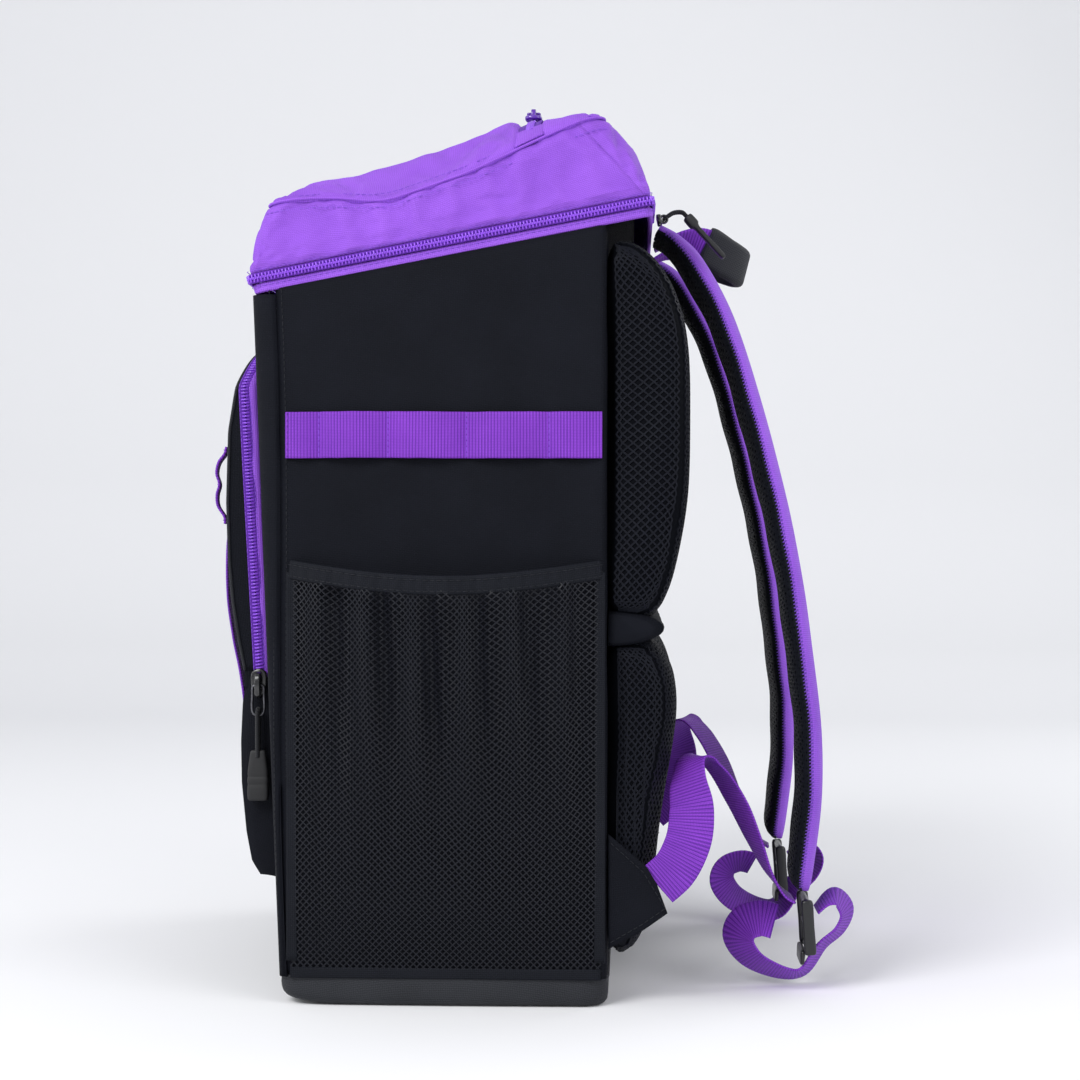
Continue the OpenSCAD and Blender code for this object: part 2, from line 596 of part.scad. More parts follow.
side_panel(1);  // side_panel_right
side_panel(-1);  // side_panel_left
front_panel();
back_panel();
base_boot();
base_board();
frame_sheet();
collar_band();
lid_zip_lower();
lid_hinge_binding();
side_strip(1);  // side_strip_right
side_strip(-1);  // side_strip_left
mesh_pocket(1);  // mesh_pocket_right
mesh_pocket(-1);  // mesh_pocket_left
pocket_elastic(1);  // pocket_elastic_right
pocket_elastic(-1);  // pocket_elastic_left
back_pad(1);  // back_pad_right
back_pad(-1);  // back_pad_left
lumbar_pad();
anchor_wing(1);  // anchor_wing_right
anchor_wing(-1);  // anchor_wing_left
pocket_gusset();
pocket_zip_inner();
pocket_lower_panel();
pocket_front_panel();
pocket_zip_outer();
webbing_tab(1);  // webbing_tab_right
webbing_tab(-1);  // webbing_tab_left
centre_strap();
pocket_slider();
pocket_wire_loop();
pocket_pull_cord();
pocket_pull_grip();
lid_top_front();
lid_top_rear();
lid_skirt();
lid_lining();
lid_zip_upper();
lid_pocket_zip();
lid_patch();
lid_pocket_slider();
lid_pocket_pull();
lid_slider();
lid_pull_cord();
lid_pull_grip();
strap_cover(1);  // strap_cover_right
strap_cover(-1);  // strap_cover_left
strap_foam(1);  // strap_foam_right
strap_foam(-1);  // strap_foam_left
strap_mesh(1);  // strap_mesh_right
strap_mesh(-1);  // strap_mesh_left
ladder_lock(1);  // ladder_lock_right
ladder_lock(-1);  // ladder_lock_left
webbing_tail(1);  // webbing_tail_right
webbing_tail(-1);  // webbing_tail_left
lower_webbing(1);  // lower_webbing_right
lower_webbing(-1);  // lower_webbing_left
grab_handle();
handle_sleeve();
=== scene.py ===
"""A skate backpack: black woven body, purple hooded lid with a zip, fold-down front pocket,
netting side pockets, air-mesh back, two padded straps. Sizes below are in millimetres, and
put_mesh() turns them into metres."""
import math

import bpy
import numpy as np
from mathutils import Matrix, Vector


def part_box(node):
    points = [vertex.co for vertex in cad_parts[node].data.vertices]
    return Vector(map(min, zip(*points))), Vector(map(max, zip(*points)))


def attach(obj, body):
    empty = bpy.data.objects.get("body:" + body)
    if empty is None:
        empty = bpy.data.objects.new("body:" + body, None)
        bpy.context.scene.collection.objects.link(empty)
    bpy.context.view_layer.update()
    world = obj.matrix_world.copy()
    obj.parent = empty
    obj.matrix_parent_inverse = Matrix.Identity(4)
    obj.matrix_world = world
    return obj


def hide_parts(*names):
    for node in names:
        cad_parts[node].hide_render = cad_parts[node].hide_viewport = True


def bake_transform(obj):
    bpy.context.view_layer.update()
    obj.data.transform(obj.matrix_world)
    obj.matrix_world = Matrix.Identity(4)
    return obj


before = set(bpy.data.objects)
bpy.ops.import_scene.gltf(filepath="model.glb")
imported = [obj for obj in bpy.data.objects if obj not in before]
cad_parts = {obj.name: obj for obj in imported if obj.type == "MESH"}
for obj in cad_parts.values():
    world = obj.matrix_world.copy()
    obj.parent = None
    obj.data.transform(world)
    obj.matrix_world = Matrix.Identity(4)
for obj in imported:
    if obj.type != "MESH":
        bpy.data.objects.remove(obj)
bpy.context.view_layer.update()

# ---- The studio ---------------------------------------------------------------------------
# A pale sweep of paper under an even pale sky and four soft square lights: a key on the right
# side, a fill from the wearer's side, a weaker one in front and one behind. The camera looks
# at the bag's right side, turned 2.5 degrees towards the wearer's side.
camera_away = 1.232
camera_turn = math.radians(2.5)
camera_aim = (0.0, 0.0455, 0.249)
lens_away, lens_sees = 1.2, 1080 * 0.0006115 / 1.036
camera = bpy.data.objects.new("camera", bpy.data.cameras.new("camera"))
camera.data.sensor_width = 36
camera.data.lens = camera.data.sensor_width * lens_away / lens_sees
camera.data.clip_start = 0.05
camera.location = (
    camera_aim[0] + camera_away * math.cos(camera_turn),
    camera_aim[1] + camera_away * math.sin(camera_turn),
    camera_aim[2],
)
camera.rotation_euler = (math.pi / 2, 0, math.pi / 2 + camera_turn)
bpy.context.scene.collection.objects.link(camera)
bpy.context.scene.camera = camera

paper = bpy.data.materials.new("white_paper")
paper.use_nodes = True
paper_shader = paper.node_tree.nodes["Principled BSDF"]
paper_shader.inputs["Base Color"].default_value = (0.86, 0.86, 0.87, 1)
paper_shader.inputs["Roughness"].default_value = 0.9
floor_mesh = bpy.data.meshes.new("floor")
sweep_line = [(3.0, 0.0), (-1.6, 0.0), (-1.95, 0.08), (-2.2, 0.35), (-2.3, 0.8), (-2.3, 3.5)]
floor_mesh.from_pydata(
    [(x, y, z) for x, z in sweep_line for y in (-3.5, 3.5)], [],
    [(2 * i, 2 * i + 1, 2 * i + 3, 2 * i + 2) for i in range(len(sweep_line) - 1)],
)
floor_mesh.polygons.foreach_set("use_smooth", [True] * len(floor_mesh.polygons))
floor_mesh.materials.append(paper)
floor = bpy.data.objects.new("floor", floor_mesh)
bpy.context.scene.collection.objects.link(floor)


def soft_light(name, place, aim, size, power):
    """A square area light at a place, turned so that its face looks at a point."""
    light = bpy.data.lights.new(name, "AREA")
    light.shape, light.size, light.energy = "SQUARE", size, power
    holder = bpy.data.objects.new(name, light)
    holder.location = place
    along = np.array(aim, float) - np.array(place, float)
    holder.rotation_euler = (
        math.acos(-along[2] / np.linalg.norm(along)), 0, math.atan2(along[1], along[0]) - math.pi / 2
    )
    bpy.context.scene.collection.objects.link(holder)


soft_light("key", (1.5, -0.9, 1.5), (0, 0, 0.28), 1.0, 30)
soft_light("fill", (1.3, 1.5, 0.9), (0, 0.1, 0.25), 1.2, 12)
soft_light("front", (0.3, -1.9, 0.8), (0, 0, 0.25), 1.2, 9)
soft_light("back", (-0.9, 1.6, 1.2), (0, 0.1, 0.3), 1.0, 9)
sky = bpy.data.worlds.new("sky")
sky.use_nodes = True
sky.node_tree.nodes["Background"].inputs["Color"].default_value = (0.93, 0.95, 1.0, 1)
sky.node_tree.nodes["Background"].inputs["Strength"].default_value = 0.62
bpy.context.scene.world = sky
bpy.context.scene.view_settings.view_transform = "Standard"

# ---- Base boot ----------------------------------------------------------------------------
# The heavier black cloth round the foot of the bag. It is one tray, sewn to the panels above
# it with a turned seam, and a stiff board lies on its floor.


def box_mm(node):
    """A CAD node's lowest and highest corners, in millimetres."""
    low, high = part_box(node)
    return np.array(low) * 1000, np.array(high) * 1000


def put_mesh(name, points, faces, uv=None, smooth=True):
    """Puts points (n, 3) in millimetres and a list of face arrays into a new object. uv holds
    one pair for each point, in metres of cloth."""
    mesh = bpy.data.meshes.new(name)
    points = np.asarray(points, float).reshape(-1, 3)
    corners = np.concatenate([f.ravel() for f in faces]).astype(np.int32)
    sizes = np.concatenate([np.full(len(f), f.shape[1]) for f in faces]).astype(np.int32)
    mesh.vertices.add(len(points))
    mesh.vertices.foreach_set("co", (points / 1000).astype(np.float32).ravel())
    mesh.loops.add(len(corners))
    mesh.loops.foreach_set("vertex_index", corners)
    mesh.polygons.add(len(sizes))
    mesh.polygons.foreach_set("loop_start", np.concatenate([[0], np.cumsum(sizes)[:-1]]).astype(np.int32))
    mesh.polygons.foreach_set("loop_total", sizes)
    mesh.polygons.foreach_set("use_smooth", np.full(len(sizes), smooth))
    if uv is not None:
        layer = mesh.uv_layers.new(name="cloth")
        layer.data.foreach_set("uv", np.asarray(uv, np.float32).reshape(-1, 2)[corners].ravel())
    mesh.update(calc_edges=True)
    mesh.validate()
    piece = bpy.data.objects.new(name, mesh)
    bpy.context.scene.collection.objects.link(piece)
    return piece


def inside_out(piece):
    """Whether a closed piece's faces look inwards: its signed volume is below nothing."""
    mesh = piece.data
    mesh.calc_loop_triangles()
    points = np.empty(len(mesh.vertices) * 3, np.float32)
    mesh.vertices.foreach_get("co", points)
    corners = np.empty(len(mesh.loop_triangles) * 3, np.int32)
    mesh.loop_triangles.foreach_get("vertices", corners)
    a, b, c = points.reshape(-1, 3).astype(float)[corners].reshape(-1, 3, 3).transpose(1, 0, 2)
    return np.sum(a * np.cross(b, c)) < 0


def ease(t):
    """A step from 0 to 1 with level ends: 3t^2 - 2t^3."""
    t = np.clip(t, 0, 1)
    return t * t * (3 - 2 * t)


def run_length(points, axis):
    """How far along a grid's rows or columns each point lies, in metres, from the middle."""
    step = np.linalg.norm(np.diff(points, axis=axis), axis=-1) / 1000
    zero = np.zeros_like(np.take(step, [0], axis=axis))
    far = np.cumsum(np.concatenate([zero, step], axis=axis), axis=axis)
    return far - np.take(far, [-1], axis=axis) / 2


def unit(way):
    """Directions made one long."""
    return way / np.maximum(np.linalg.norm(way, axis=-1, keepdims=True), 1e-9)


def grid_normals(grid):
    """Unit normals of a grid of points: its columns' direction crossed with its rows'."""
    return unit(np.cross(np.gradient(grid, axis=1), np.gradient(grid, axis=0)))


def grid_faces(rows, cols, base=0):
    """Quads of a grid of rows by cols points, seen from the side its normals point to."""
    i, j = np.meshgrid(np.arange(rows - 1), np.arange(cols - 1), indexing="ij")
    a = base + i * cols + j
    return np.stack([a, a + 1, a + cols + 1, a + cols], axis=-1).reshape(-1, 4)


def cloth(name, grid, thick, away_from=(0, 0, 250)):
    """A closed sheet: the grid is its outer face, a copy lies thick behind it along the
    normals, and a strip of faces joins the two all round. Its uv is metres of cloth."""
    normals = grid_normals(grid)
    if np.sum(normals * (grid - np.array(away_from, float))) < 0:
        grid = grid[:, ::-1]
        normals = grid_normals(grid)
    rows, cols = grid.shape[:2]
    q = rows * cols
    front = grid_faces(rows, cols)
    rim = np.concatenate([
        np.arange(cols - 1), np.arange(rows - 1) * cols + cols - 1,
        np.arange(q - 1, q - cols, -1), np.arange(rows - 1, 0, -1) * cols,
    ])
    after = np.roll(rim, -1)
    wall = np.stack([after, rim, rim + q, after + q], axis=-1)
    uv = np.stack([run_length(grid, 1), run_length(grid, 0)], axis=-1).reshape(-1, 2)
    return put_mesh(
        name, np.concatenate([grid.reshape(-1, 3), (grid - normals * thick).reshape(-1, 3)]),
        [front, front[:, ::-1] + q, wall], np.concatenate([uv, uv]),
    )


def ripple(a, b, seed, waves=5, longest=160.0):
    """Slow unevenness of hand-sewn cloth over two coordinates in millimetres: a sum of plain
    waves in seeded directions, each half as long and weaker than the one before, about +-1."""
    chance = np.random.default_rng(seed)
    total = np.zeros(np.broadcast(a, b).shape)
    for k in range(waves):
        turn, shift = chance.uniform(0, math.tau, 2)
        length = longest / 1.6**k
        total += np.sin((a * math.cos(turn) + b * math.sin(turn)) * math.tau / length + shift) / 1.5**k
    return total / 2


class Nodes:
    """Short ways to add and join shader nodes in one node tree."""

    def __init__(self, tree):
        self.tree = tree

    def add(self, kind, inputs=(), **settings):
        node = self.tree.nodes.new(kind)
        for key, value in settings.items():
            setattr(node, key, value)
        for key, value in dict(inputs).items():
            if isinstance(value, bpy.types.NodeSocket):
                self.tree.links.new(value, node.inputs[key])
            else:
                node.inputs[key].default_value = value
        return node

    def maths(self, operation, *values, clamp=False):
        return self.add("ShaderNodeMath", enumerate(values), operation=operation, use_clamp=clamp).outputs[0]

    def tint(self, factor, dark, light):
        mix = self.add("ShaderNodeMix", data_type="RGBA")
        self.tree.links.new(factor, mix.inputs[0])
        mix.inputs[6].default_value = (*dark, 1)
        mix.inputs[7].default_value = (*light, 1)
        return mix.outputs[2]


def new_group(name, inputs, outputs):
    """An empty shader node group with named sockets: (name, kind, default)."""
    tree = bpy.data.node_groups.new(name, "ShaderNodeTree")
    for label, kind, default in inputs:
        socket = tree.interface.new_socket(label, in_out="INPUT", socket_type=kind)
        if default is not None:
            socket.default_value = default
    for label in outputs:
        tree.interface.new_socket(label, in_out="OUTPUT", socket_type="NodeSocketFloat")
    nodes = Nodes(tree)
    return nodes, nodes.add("NodeGroupInput"), nodes.add("NodeGroupOutput")


def make_plain_weave():
    """Warp and weft threads that take turns on top, with each thread's own thickness. Height
    is 0 in the gaps and 1 on the crowns; Fade is slow unevenness of the dye."""
    n, at, out = new_group(
        "plain_weave",
        [("Cloth", "NodeSocketVector", None), ("Pitch", "NodeSocketFloat", 0.0009)],
        ["Height", "Fade"],
    )
    wobble = n.add("ShaderNodeTexNoise", {"Vector": at.outputs["Cloth"], "Scale": 160.0, "Detail": 1.0})
    bent = n.add("ShaderNodeVectorMath", operation="MULTIPLY_ADD")
    n.tree.links.new(wobble.outputs["Color"], bent.inputs[0])
    bent.inputs[1].default_value = (0.0006, 0.0006, 0.0)
    n.tree.links.new(at.outputs["Cloth"], bent.inputs[2])
    split = n.add("ShaderNodeSeparateXYZ", {0: bent.outputs[0]})
    turns = n.maths("DIVIDE", math.pi, at.outputs["Pitch"])
    warp = n.maths("SINE", n.maths("MULTIPLY", split.outputs[0], turns))
    weft = n.maths("SINE", n.maths("MULTIPLY", split.outputs[1], turns))
    over = n.maths("MULTIPLY_ADD", n.maths("MULTIPLY", warp, weft), 3.0, 0.5, clamp=True)
    warp_crown, weft_crown = n.maths("ABSOLUTE", warp), n.maths("ABSOLUTE", weft)
    spread = n.maths("SUBTRACT", weft_crown, warp_crown)
    n.tree.links.new(n.maths("MULTIPLY_ADD", spread, over, warp_crown), out.inputs["Height"])
    fade = n.add("ShaderNodeTexNoise", {"Vector": at.outputs["Cloth"], "Scale": 22.0, "Detail": 4.0})
    n.tree.links.new(fade.outputs["Fac"], out.inputs["Fade"])
    return n.tree


plain_weave = make_plain_weave()


def shader_of(name, roughness, **fixed):
    """A new material with its Principled shader's plain values set. Returns it with its nodes."""
    material = bpy.data.materials.new(name)
    material.use_nodes = True
    nodes = Nodes(material.node_tree)
    shader = material.node_tree.nodes["Principled BSDF"]
    shader.inputs["Roughness"].default_value = roughness
    for label, value in fixed.items():
        shader.inputs[label.replace("_", " ")].default_value = value
    return material, nodes, shader


def add_bump(nodes, shader, height, strength, distance):
    bump = nodes.add("ShaderNodeBump", {"Height": height, "Strength": strength, "Distance": distance})
    nodes.tree.links.new(bump.outputs["Normal"], shader.inputs["Normal"])


def woven(name, dark, light, pitch, roughness, sheen, strength=0.55, shine=0.2, rib_m=0.0):
    """Plain woven polyester: painted shade darkens the gaps between threads, so the crowns look
    lighter; the dye fades a little from place to place, and the crowns are worn smoother. A
    ribbed cloth also gets painted shade between its ribs, which cross its length at a set pitch."""
    material, n, shader = shader_of(
        name, roughness, Sheen_Weight=sheen, Sheen_Roughness=0.4, Specular_IOR_Level=shine
    )
    shader.inputs["Sheen Tint"].default_value = (*[min(1, c * 1.3 + 0.03) for c in light], 1)
    where = n.add("ShaderNodeUVMap", uv_map="cloth").outputs[0]
    weave = n.add("ShaderNodeGroup", node_tree=plain_weave)
    n.tree.links.new(where, weave.inputs["Cloth"])
    weave.inputs["Pitch"].default_value = pitch
    # Painted shade: the tone follows the weave's height, darker in the gaps between threads, on top of the
    # dye's slow fade.
    tone = n.maths("MULTIPLY_ADD", weave.outputs["Fade"], 0.7, -0.15)
    tone = n.maths("MULTIPLY_ADD", weave.outputs["Height"], 0.65, tone, clamp=True)
    # Painted shade between the ribs: the tone falls towards nothing in each trough.
    if rib_m:
        far = n.add("ShaderNodeSeparateXYZ", {0: where}).outputs[1]
        rib_shade_factor = n.maths("ABSOLUTE", n.maths("SINE", n.maths("MULTIPLY", far, math.pi / rib_m)))
        tone = n.maths("MULTIPLY", tone, n.maths("POWER", rib_shade_factor, 0.7))
    n.tree.links.new(n.tint(tone, dark, light), shader.inputs["Base Color"])
    n.tree.links.new(
        n.maths("MULTIPLY_ADD", weave.outputs["Height"], -0.12, roughness + 0.08), shader.inputs["Roughness"]
    )
    add_bump(n, shader, weave.outputs["Height"], strength, 0.00035)
    return material


boot_cloth = woven("boot_cloth", (0.006, 0.0066, 0.0085), (0.030, 0.032, 0.038), 0.0012, 0.6, 0.15)


def finished(piece, material, body=None, nodes=()):
    """Gives a finished piece its material, its body and the nodes it stands for."""
    piece.data.materials.clear()
    piece.data.materials.append(material)
    if body:
        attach(piece, body)
    if nodes:
        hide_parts(*nodes)
    return piece


boot_low, boot_high = box_mm("base_boot")
front_low, front_high = box_mm("front_panel")
half_width = boot_high[0]
back_y = boot_high[1]
foot_y = boot_low[1]
lean = (front_high[1] - 3 - front_low[1]) / (front_high[2] - front_low[2])


def front_y(z):
    """The front panel's outer face: it leans out steadily from the boot to the rim."""
    return foot_y - lean * z


def plan_ring(z, inset, corner, bulge, across=61, arc=9):
    """The bag's outline at one height: a rectangle with round corners whose sides swell by a
    parabola. Columns run from the middle of the back round by the right, front and left."""
    w, f, b = half_width - inset, front_y(z) + inset, back_y - inset
    turn = np.linspace(0, math.pi / 2, arc)
    side = np.linspace(0, 1, across)
    swell = bulge * 4 * side * (1 - side)
    right = np.stack([w + swell, b - corner + (f - b + 2 * corner) * side], -1)
    front = np.stack([w - corner - 2 * (w - corner) * side, f - swell * 0.6], -1)
    left = np.stack([-w - swell, f + corner + (b - f - 2 * corner) * side], -1)
    back = np.stack([-w + corner + 2 * (w - corner) * side, np.full(across, b)], -1)
    turns = [np.stack([x + corner * np.cos(o - turn), y + corner * np.sin(o - turn)], -1) for x, y, o in (
        (w - corner, b - corner, math.pi / 2), (w - corner, f + corner, 0),
        (-w + corner, f + corner, -math.pi / 2), (-w + corner, b - corner, -math.pi))]
    ring = np.concatenate([back[across // 2:-1], turns[0][:-1], right[:-1], turns[1][:-1], front[:-1],
                           turns[2][:-1], left[:-1], turns[3][:-1], back[:across // 2 + 1]])
    return np.concatenate([ring, np.full((len(ring), 1), z)], 1)


# The boot's wall, turned under into its floor, with a fold line where it meets the floor
boot_top = boot_high[2] + 0.6
boot_steps = [(0.0, 40.0, 3), (0.0, 14.0, 6), (0.25, 5.0, 9), (1.2, 1.6, 11), (3.0, 0.3, 12), (6.0, -0.2, 12),
              (10.0, -0.3, 12), (boot_top - 1.6, 0.0, 12), (boot_top - 0.5, 0.2, 12), (boot_top, 0.9, 12)]
boot_grid = np.stack([plan_ring(z, inset, corner, 1.0) for z, inset, corner in boot_steps])
fan = np.linspace(0, 1, 5)[:-1, None, None]
boot_floor = plan_ring(0.0, 40.0, 3, 0)[None] * np.array([1, 1, 0]) * fan
boot_floor[:, :, 1] += (1 - fan[:, :, 0]) * 0.5
boot_grid = np.concatenate([boot_floor, boot_grid])
# The foot's front rises by 5 mm, so that the bag rolls forward on it
front_lift = ease((-60 - boot_grid[..., 1]) / 40) * ease(1 - boot_grid[..., 2] / 16) * 5.0
boot_grid[..., 2] += front_lift * (boot_grid[..., 2] < boot_top - 1)
boot = cloth("base_boot_cloth", boot_grid, 1.6)
finished(boot, boot_cloth, "bag", ["base_boot"])

# ---- Body panels --------------------------------------------------------------------------
# Four panels of fine black woven cloth round the load space. The front one wraps both front
# corners and meets the side panels in a turned seam with a row of stitching on either side.
body_cloth = woven("body_cloth", (0.0012, 0.0015, 0.0028), (0.0075, 0.0085, 0.0135), 0.00095, 0.62, 0.05,
                   shine=0.08)
zip_tilt = math.radians(10.76)
zip_start = np.array([0, -103, 388.5])
slope = np.array([0, math.cos(zip_tilt), math.sin(zip_tilt)])
off_slope = np.array([0, -math.sin(zip_tilt), math.cos(zip_tilt)])
rim_drop = 8.0
rear_seam, front_half = 87.0, 141
hands = ((1, "right"), (-1, "left"))


def speckled(name, roughness, scale, dark, light, strength, depth, detail=2.0, **fixed):
    """A material of two tones that change over a fine noise, which is its height as well."""
    material, n, shader = shader_of(name, roughness, **fixed)
    where = n.add("ShaderNodeTexCoord").outputs["Object"]
    noise = n.add("ShaderNodeTexNoise", {"Vector": where, "Scale": scale, "Detail": detail})
    n.tree.links.new(n.tint(noise.outputs["Fac"], dark, light), shader.inputs["Base Color"])
    add_bump(n, shader, noise.outputs["Fac"], strength, depth)
    return material


seam_black = speckled("black_thread", 0.5, 1200.0, (0.004, 0.0045, 0.007), (0.02, 0.022, 0.028), 0.3, 0.0002,
                      Specular_IOR_Level=0.2)


def zip_z(y):
    """Height of the lid zip's plane over a place along Y."""
    return zip_start[2] + (y - zip_start[1]) * math.tan(zip_tilt)


def rim_z(y):
    """Height of the body's upper edge, which runs under the collar band."""
    return zip_z(y) - rim_drop / math.cos(zip_tilt)


def front_seam(z):
    """Where the front seam lies on the side: it leaves the corner as the front leans out."""
    return front_y(z) + 4.5 + 9.0 * ease((z - 60) / 300)


def square_to(side, along):
    """Directions turned square to a line's own, and made one long."""
    return unit(side - along * np.sum(side * along, axis=1, keepdims=True))


def tube_faces(n, m, closed=False):
    """Quads round n rings of m points, and a cap on either end unless the last ring joins the
    first."""
    i, j = np.meshgrid(np.arange(n if closed else n - 1), np.arange(m), indexing="ij")
    after = (i + 1) % n * m
    quads = np.stack([i * m + j, i * m + (j + 1) % m, after + (j + 1) % m, after + j], -1).reshape(-1, 4)
    return [quads] if closed else [quads, np.arange(m)[::-1][None], (np.arange(m) + (n - 1) * m)[None]]


def swept(name, path, side, profile, closed=False, around=False):
    """A closed profile of (side, up) pairs carried along a path, with both ends capped. side
    is one direction or one for each point, and up is the path's direction crossed with it.
    The cloth's u is the profile's own side value, or the way round it for a thick piece."""
    path, side, profile = (np.asarray(a, float) for a in (path, side, profile))
    if closed:
        along = np.roll(path, -1, 0) - np.roll(path, 1, 0)
    else:
        along = np.gradient(path, axis=0)
    along = unit(along)
    side = square_to(side, along)
    up = np.cross(along, side)
    if profile.ndim == 2:
        profile = np.broadcast_to(profile, (len(path), *profile.shape))
    rings = path[:, None] + side[:, None] * profile[..., :1] + up[:, None] * profile[..., 1:2]
    far = np.concatenate([[0], np.cumsum(np.linalg.norm(np.diff(path, axis=0), axis=1))]) / 1000
    u = profile[..., 0] / 1000
    if around:
        edge = np.linalg.norm(np.diff(profile, axis=1, prepend=profile[:, :1]), axis=-1)
        u = np.cumsum(edge, axis=1) / 1000
    uv = np.stack([u, np.broadcast_to(far[:, None], u.shape)], -1)
    return put_mesh(name, rings, tube_faces(*rings.shape[:2], closed), uv)


def evenly(line, pitch, closed=False):
    """Points a pitch apart along a broken line, each with the line's direction there. Extra
    columns are carried along with the first three."""
    line = np.asarray(line, float)
    if closed:
        line = np.concatenate([line, line[:1]])
    far = np.concatenate([[0], np.cumsum(np.linalg.norm(np.diff(line[:, :3], axis=0), axis=1))])
    count = max(2, int(round(far[-1] / pitch)) + (0 if closed else 1))
    at = np.linspace(0, far[-1], count, endpoint=not closed)
    points = np.stack([np.interp(at, far, column) for column in line.T], -1)
    ahead = np.stack([np.interp(np.clip(at + 0.3, 0, far[-1]), far, c) for c in line[:, :3].T], -1)
    behind = np.stack([np.interp(np.clip(at - 0.3, 0, far[-1]), far, c) for c in line[:, :3].T], -1)
    return points, unit(ahead - behind)


def strewn(name, shape, places, along, up):
    """Copies of one small closed shape (its points and its face arrays), its x turned along a
    line and its z turned up, joined into one mesh."""
    points, faces = shape
    along, up = (np.broadcast_to(np.asarray(a, float), places.shape) for a in (along, up))
    along = unit(along)
    up = square_to(up, along)
    turn = np.stack([along, np.cross(up, along), up], 1)
    every = places[:, None] + points @ turn
    base = np.arange(len(places)) * len(points)
    return put_mesh(name, every, [(f[None] + base[:, None, None]).reshape(-1, f.shape[1]) for f in faces])


def bead(length, wide, tall, sides=6, stations=((-1, 0.3), (-0.72, 0.85), (0.72, 0.85), (1, 0.3))):
    """A short closed bead along x: rings at shares of its half length, each with a share of
    its full girth."""
    turn = np.arange(sides) / sides * math.tau
    rings = [np.stack([np.full(sides, s * length / 2), np.cos(turn) * wide / 2 * g,
                       np.sin(turn) * tall / 2 * g], -1) for s, g in stations]
    return np.concatenate(rings), tube_faces(len(rings), sides)


def stitches(name, line, up, material, body, length=2.6, gap=0.9, thick=0.5):
    """One row of thread along a line on cloth whose outward direction is up."""
    places, along = evenly(line, length + gap)
    up = np.asarray(up, float)
    piece = strewn(name, bead(length, thick, thick), places + up * 0.12, along, up)
    return finished(piece, material, body)


# Side panels: flat cloth over a stiff lining, dipping into the seams, with slow unevenness
for side, hand in hands:
    v, u = np.meshgrid(np.linspace(0, 1, 90), np.linspace(0, 1, 61), indexing="ij")
    z = boot_high[2] + 0.2 + v * (rim_z(-88) + (rim_z(rear_seam) - rim_z(-88)) * u - boot_high[2])
    y = front_seam(z) + u * (rear_seam - front_seam(z))
    from_front, from_rear = u * (rear_seam - front_seam(z)), (1 - u) * 170
    dip = 1.7 * np.exp(-(from_front / 1.6) ** 2) + 1.2 * np.exp(-(from_rear / 1.6) ** 2)
    dip += 1.2 * np.exp(-((z - boot_high[2]) / 1.8) ** 2)
    slack = ease(u * 8) * ease((1 - u) * 8) * ease(v * 10) * ease((1 - v) * 10)
    bend = 0.8 * ripple(y, z * 0.6, 3 + side, 4, 150) + 0.25 * ripple(y, z, 5 + side, 3, 34)
    x = half_width - dip - slack * (0.5 - 0.55 * bend)
    panel = cloth(f"side_cloth_{hand}", np.stack([side * x, y, z], -1), 1.6)
    finished(panel, body_cloth, "bag", [f"side_panel_{hand}"])
    seam_at = np.linspace(boot_high[2] + 6, rim_z(-88) - 1, 60)
    for k, off in enumerate((3.4, -3.2)):
        sunk = 0.5 if off < 0 else 0.0
        line = np.stack([np.full(60, side * (half_width - sunk)), front_seam(seam_at) + off, seam_at], -1)
        stitches(f"side_seam_{hand}_{k}", line, (side, 0, 0), seam_black, "bag")

# Front panel: across the front and round both corners to the seams
v = np.linspace(0, 1, 80)[:, None]
front_z = boot_high[2] + 0.2 + v * (rim_z(-102) - boot_high[2] - 0.2)
turn = np.linspace(0, math.pi / 2, 8)[None]
radius = 5.0 + 4.0 * ease((front_z - 60) / 300)
seam_run = front_seam(front_z) - front_y(front_z) - radius
shares = np.linspace(1, 0, 8)[None]
near_x = np.concatenate([np.full((80, 7), half_width), half_width - radius + radius * np.cos(turn)], 1)
near_y = np.concatenate([front_y(front_z) + radius + seam_run * shares[:, :-1],
                         front_y(front_z) + radius - radius * np.sin(turn)], 1)
near_x = near_x - 1.6 * np.exp(-((front_seam(front_z) - near_y) / 1.4) ** 2)
middle = np.linspace(1, -1, 42)[None, 1:-1] * (half_width - radius)
front_x = np.concatenate([near_x, middle, -near_x[:, ::-1]], 1)
front_face = front_y(front_z) + 0.8 * (1 - (middle / front_half) ** 2)
front_face = front_face + 0.3 * ripple(middle, front_z, 9, 4, 120)
front_grid_y = np.concatenate([near_y, front_face, near_y[:, ::-1]], 1)
front_grid = np.stack([front_x, front_grid_y, np.broadcast_to(front_z, front_x.shape)], -1)
front_piece = cloth("front_cloth", front_grid, 1.6, away_from=(0, 0, 200))
finished(front_piece, body_cloth, "bag", ["front_panel"])

# Back panel: flat under the pads, its edges rolled into the side seams
v, u = np.meshgrid(np.linspace(0, 1, 60), np.linspace(-1, 1, 61), indexing="ij")
edge_roll = np.clip((np.abs(u) - 0.955) / 0.045, 0, 1)
back_grid = np.stack([
    np.sign(u) * (np.abs(u) * half_width - 0.3 - 0.8 * edge_roll**3),
    back_y - 0.3 - 3.2 * (1 - np.sqrt(1 - 0.99 * edge_roll**2)) + 0.25 * ripple(u * 150, v * 380, 12, 3, 90),
    boot_high[2] + v * (rim_z(86) - boot_high[2])], -1)
back_piece = cloth("back_cloth", back_grid, 1.6)
finished(back_piece, body_cloth, "bag", ["back_panel"])

# Piping between the boot and the panels: a thin cord under a strip of the boot's cloth
ring_line = plan_ring(boot_high[2] + 0.2, 0.2, 12, 0.4)
piping, _ = evenly(ring_line[1:], 3.0, closed=True)
round_12 = np.stack([np.cos(np.arange(12) / 12 * math.tau), np.sin(np.arange(12) / 12 * math.tau)], -1)
boot_piping = swept("boot_piping", piping, (0, 0, 1.0), round_12 * 1.15, closed=True)
finished(boot_piping, boot_cloth, "bag")

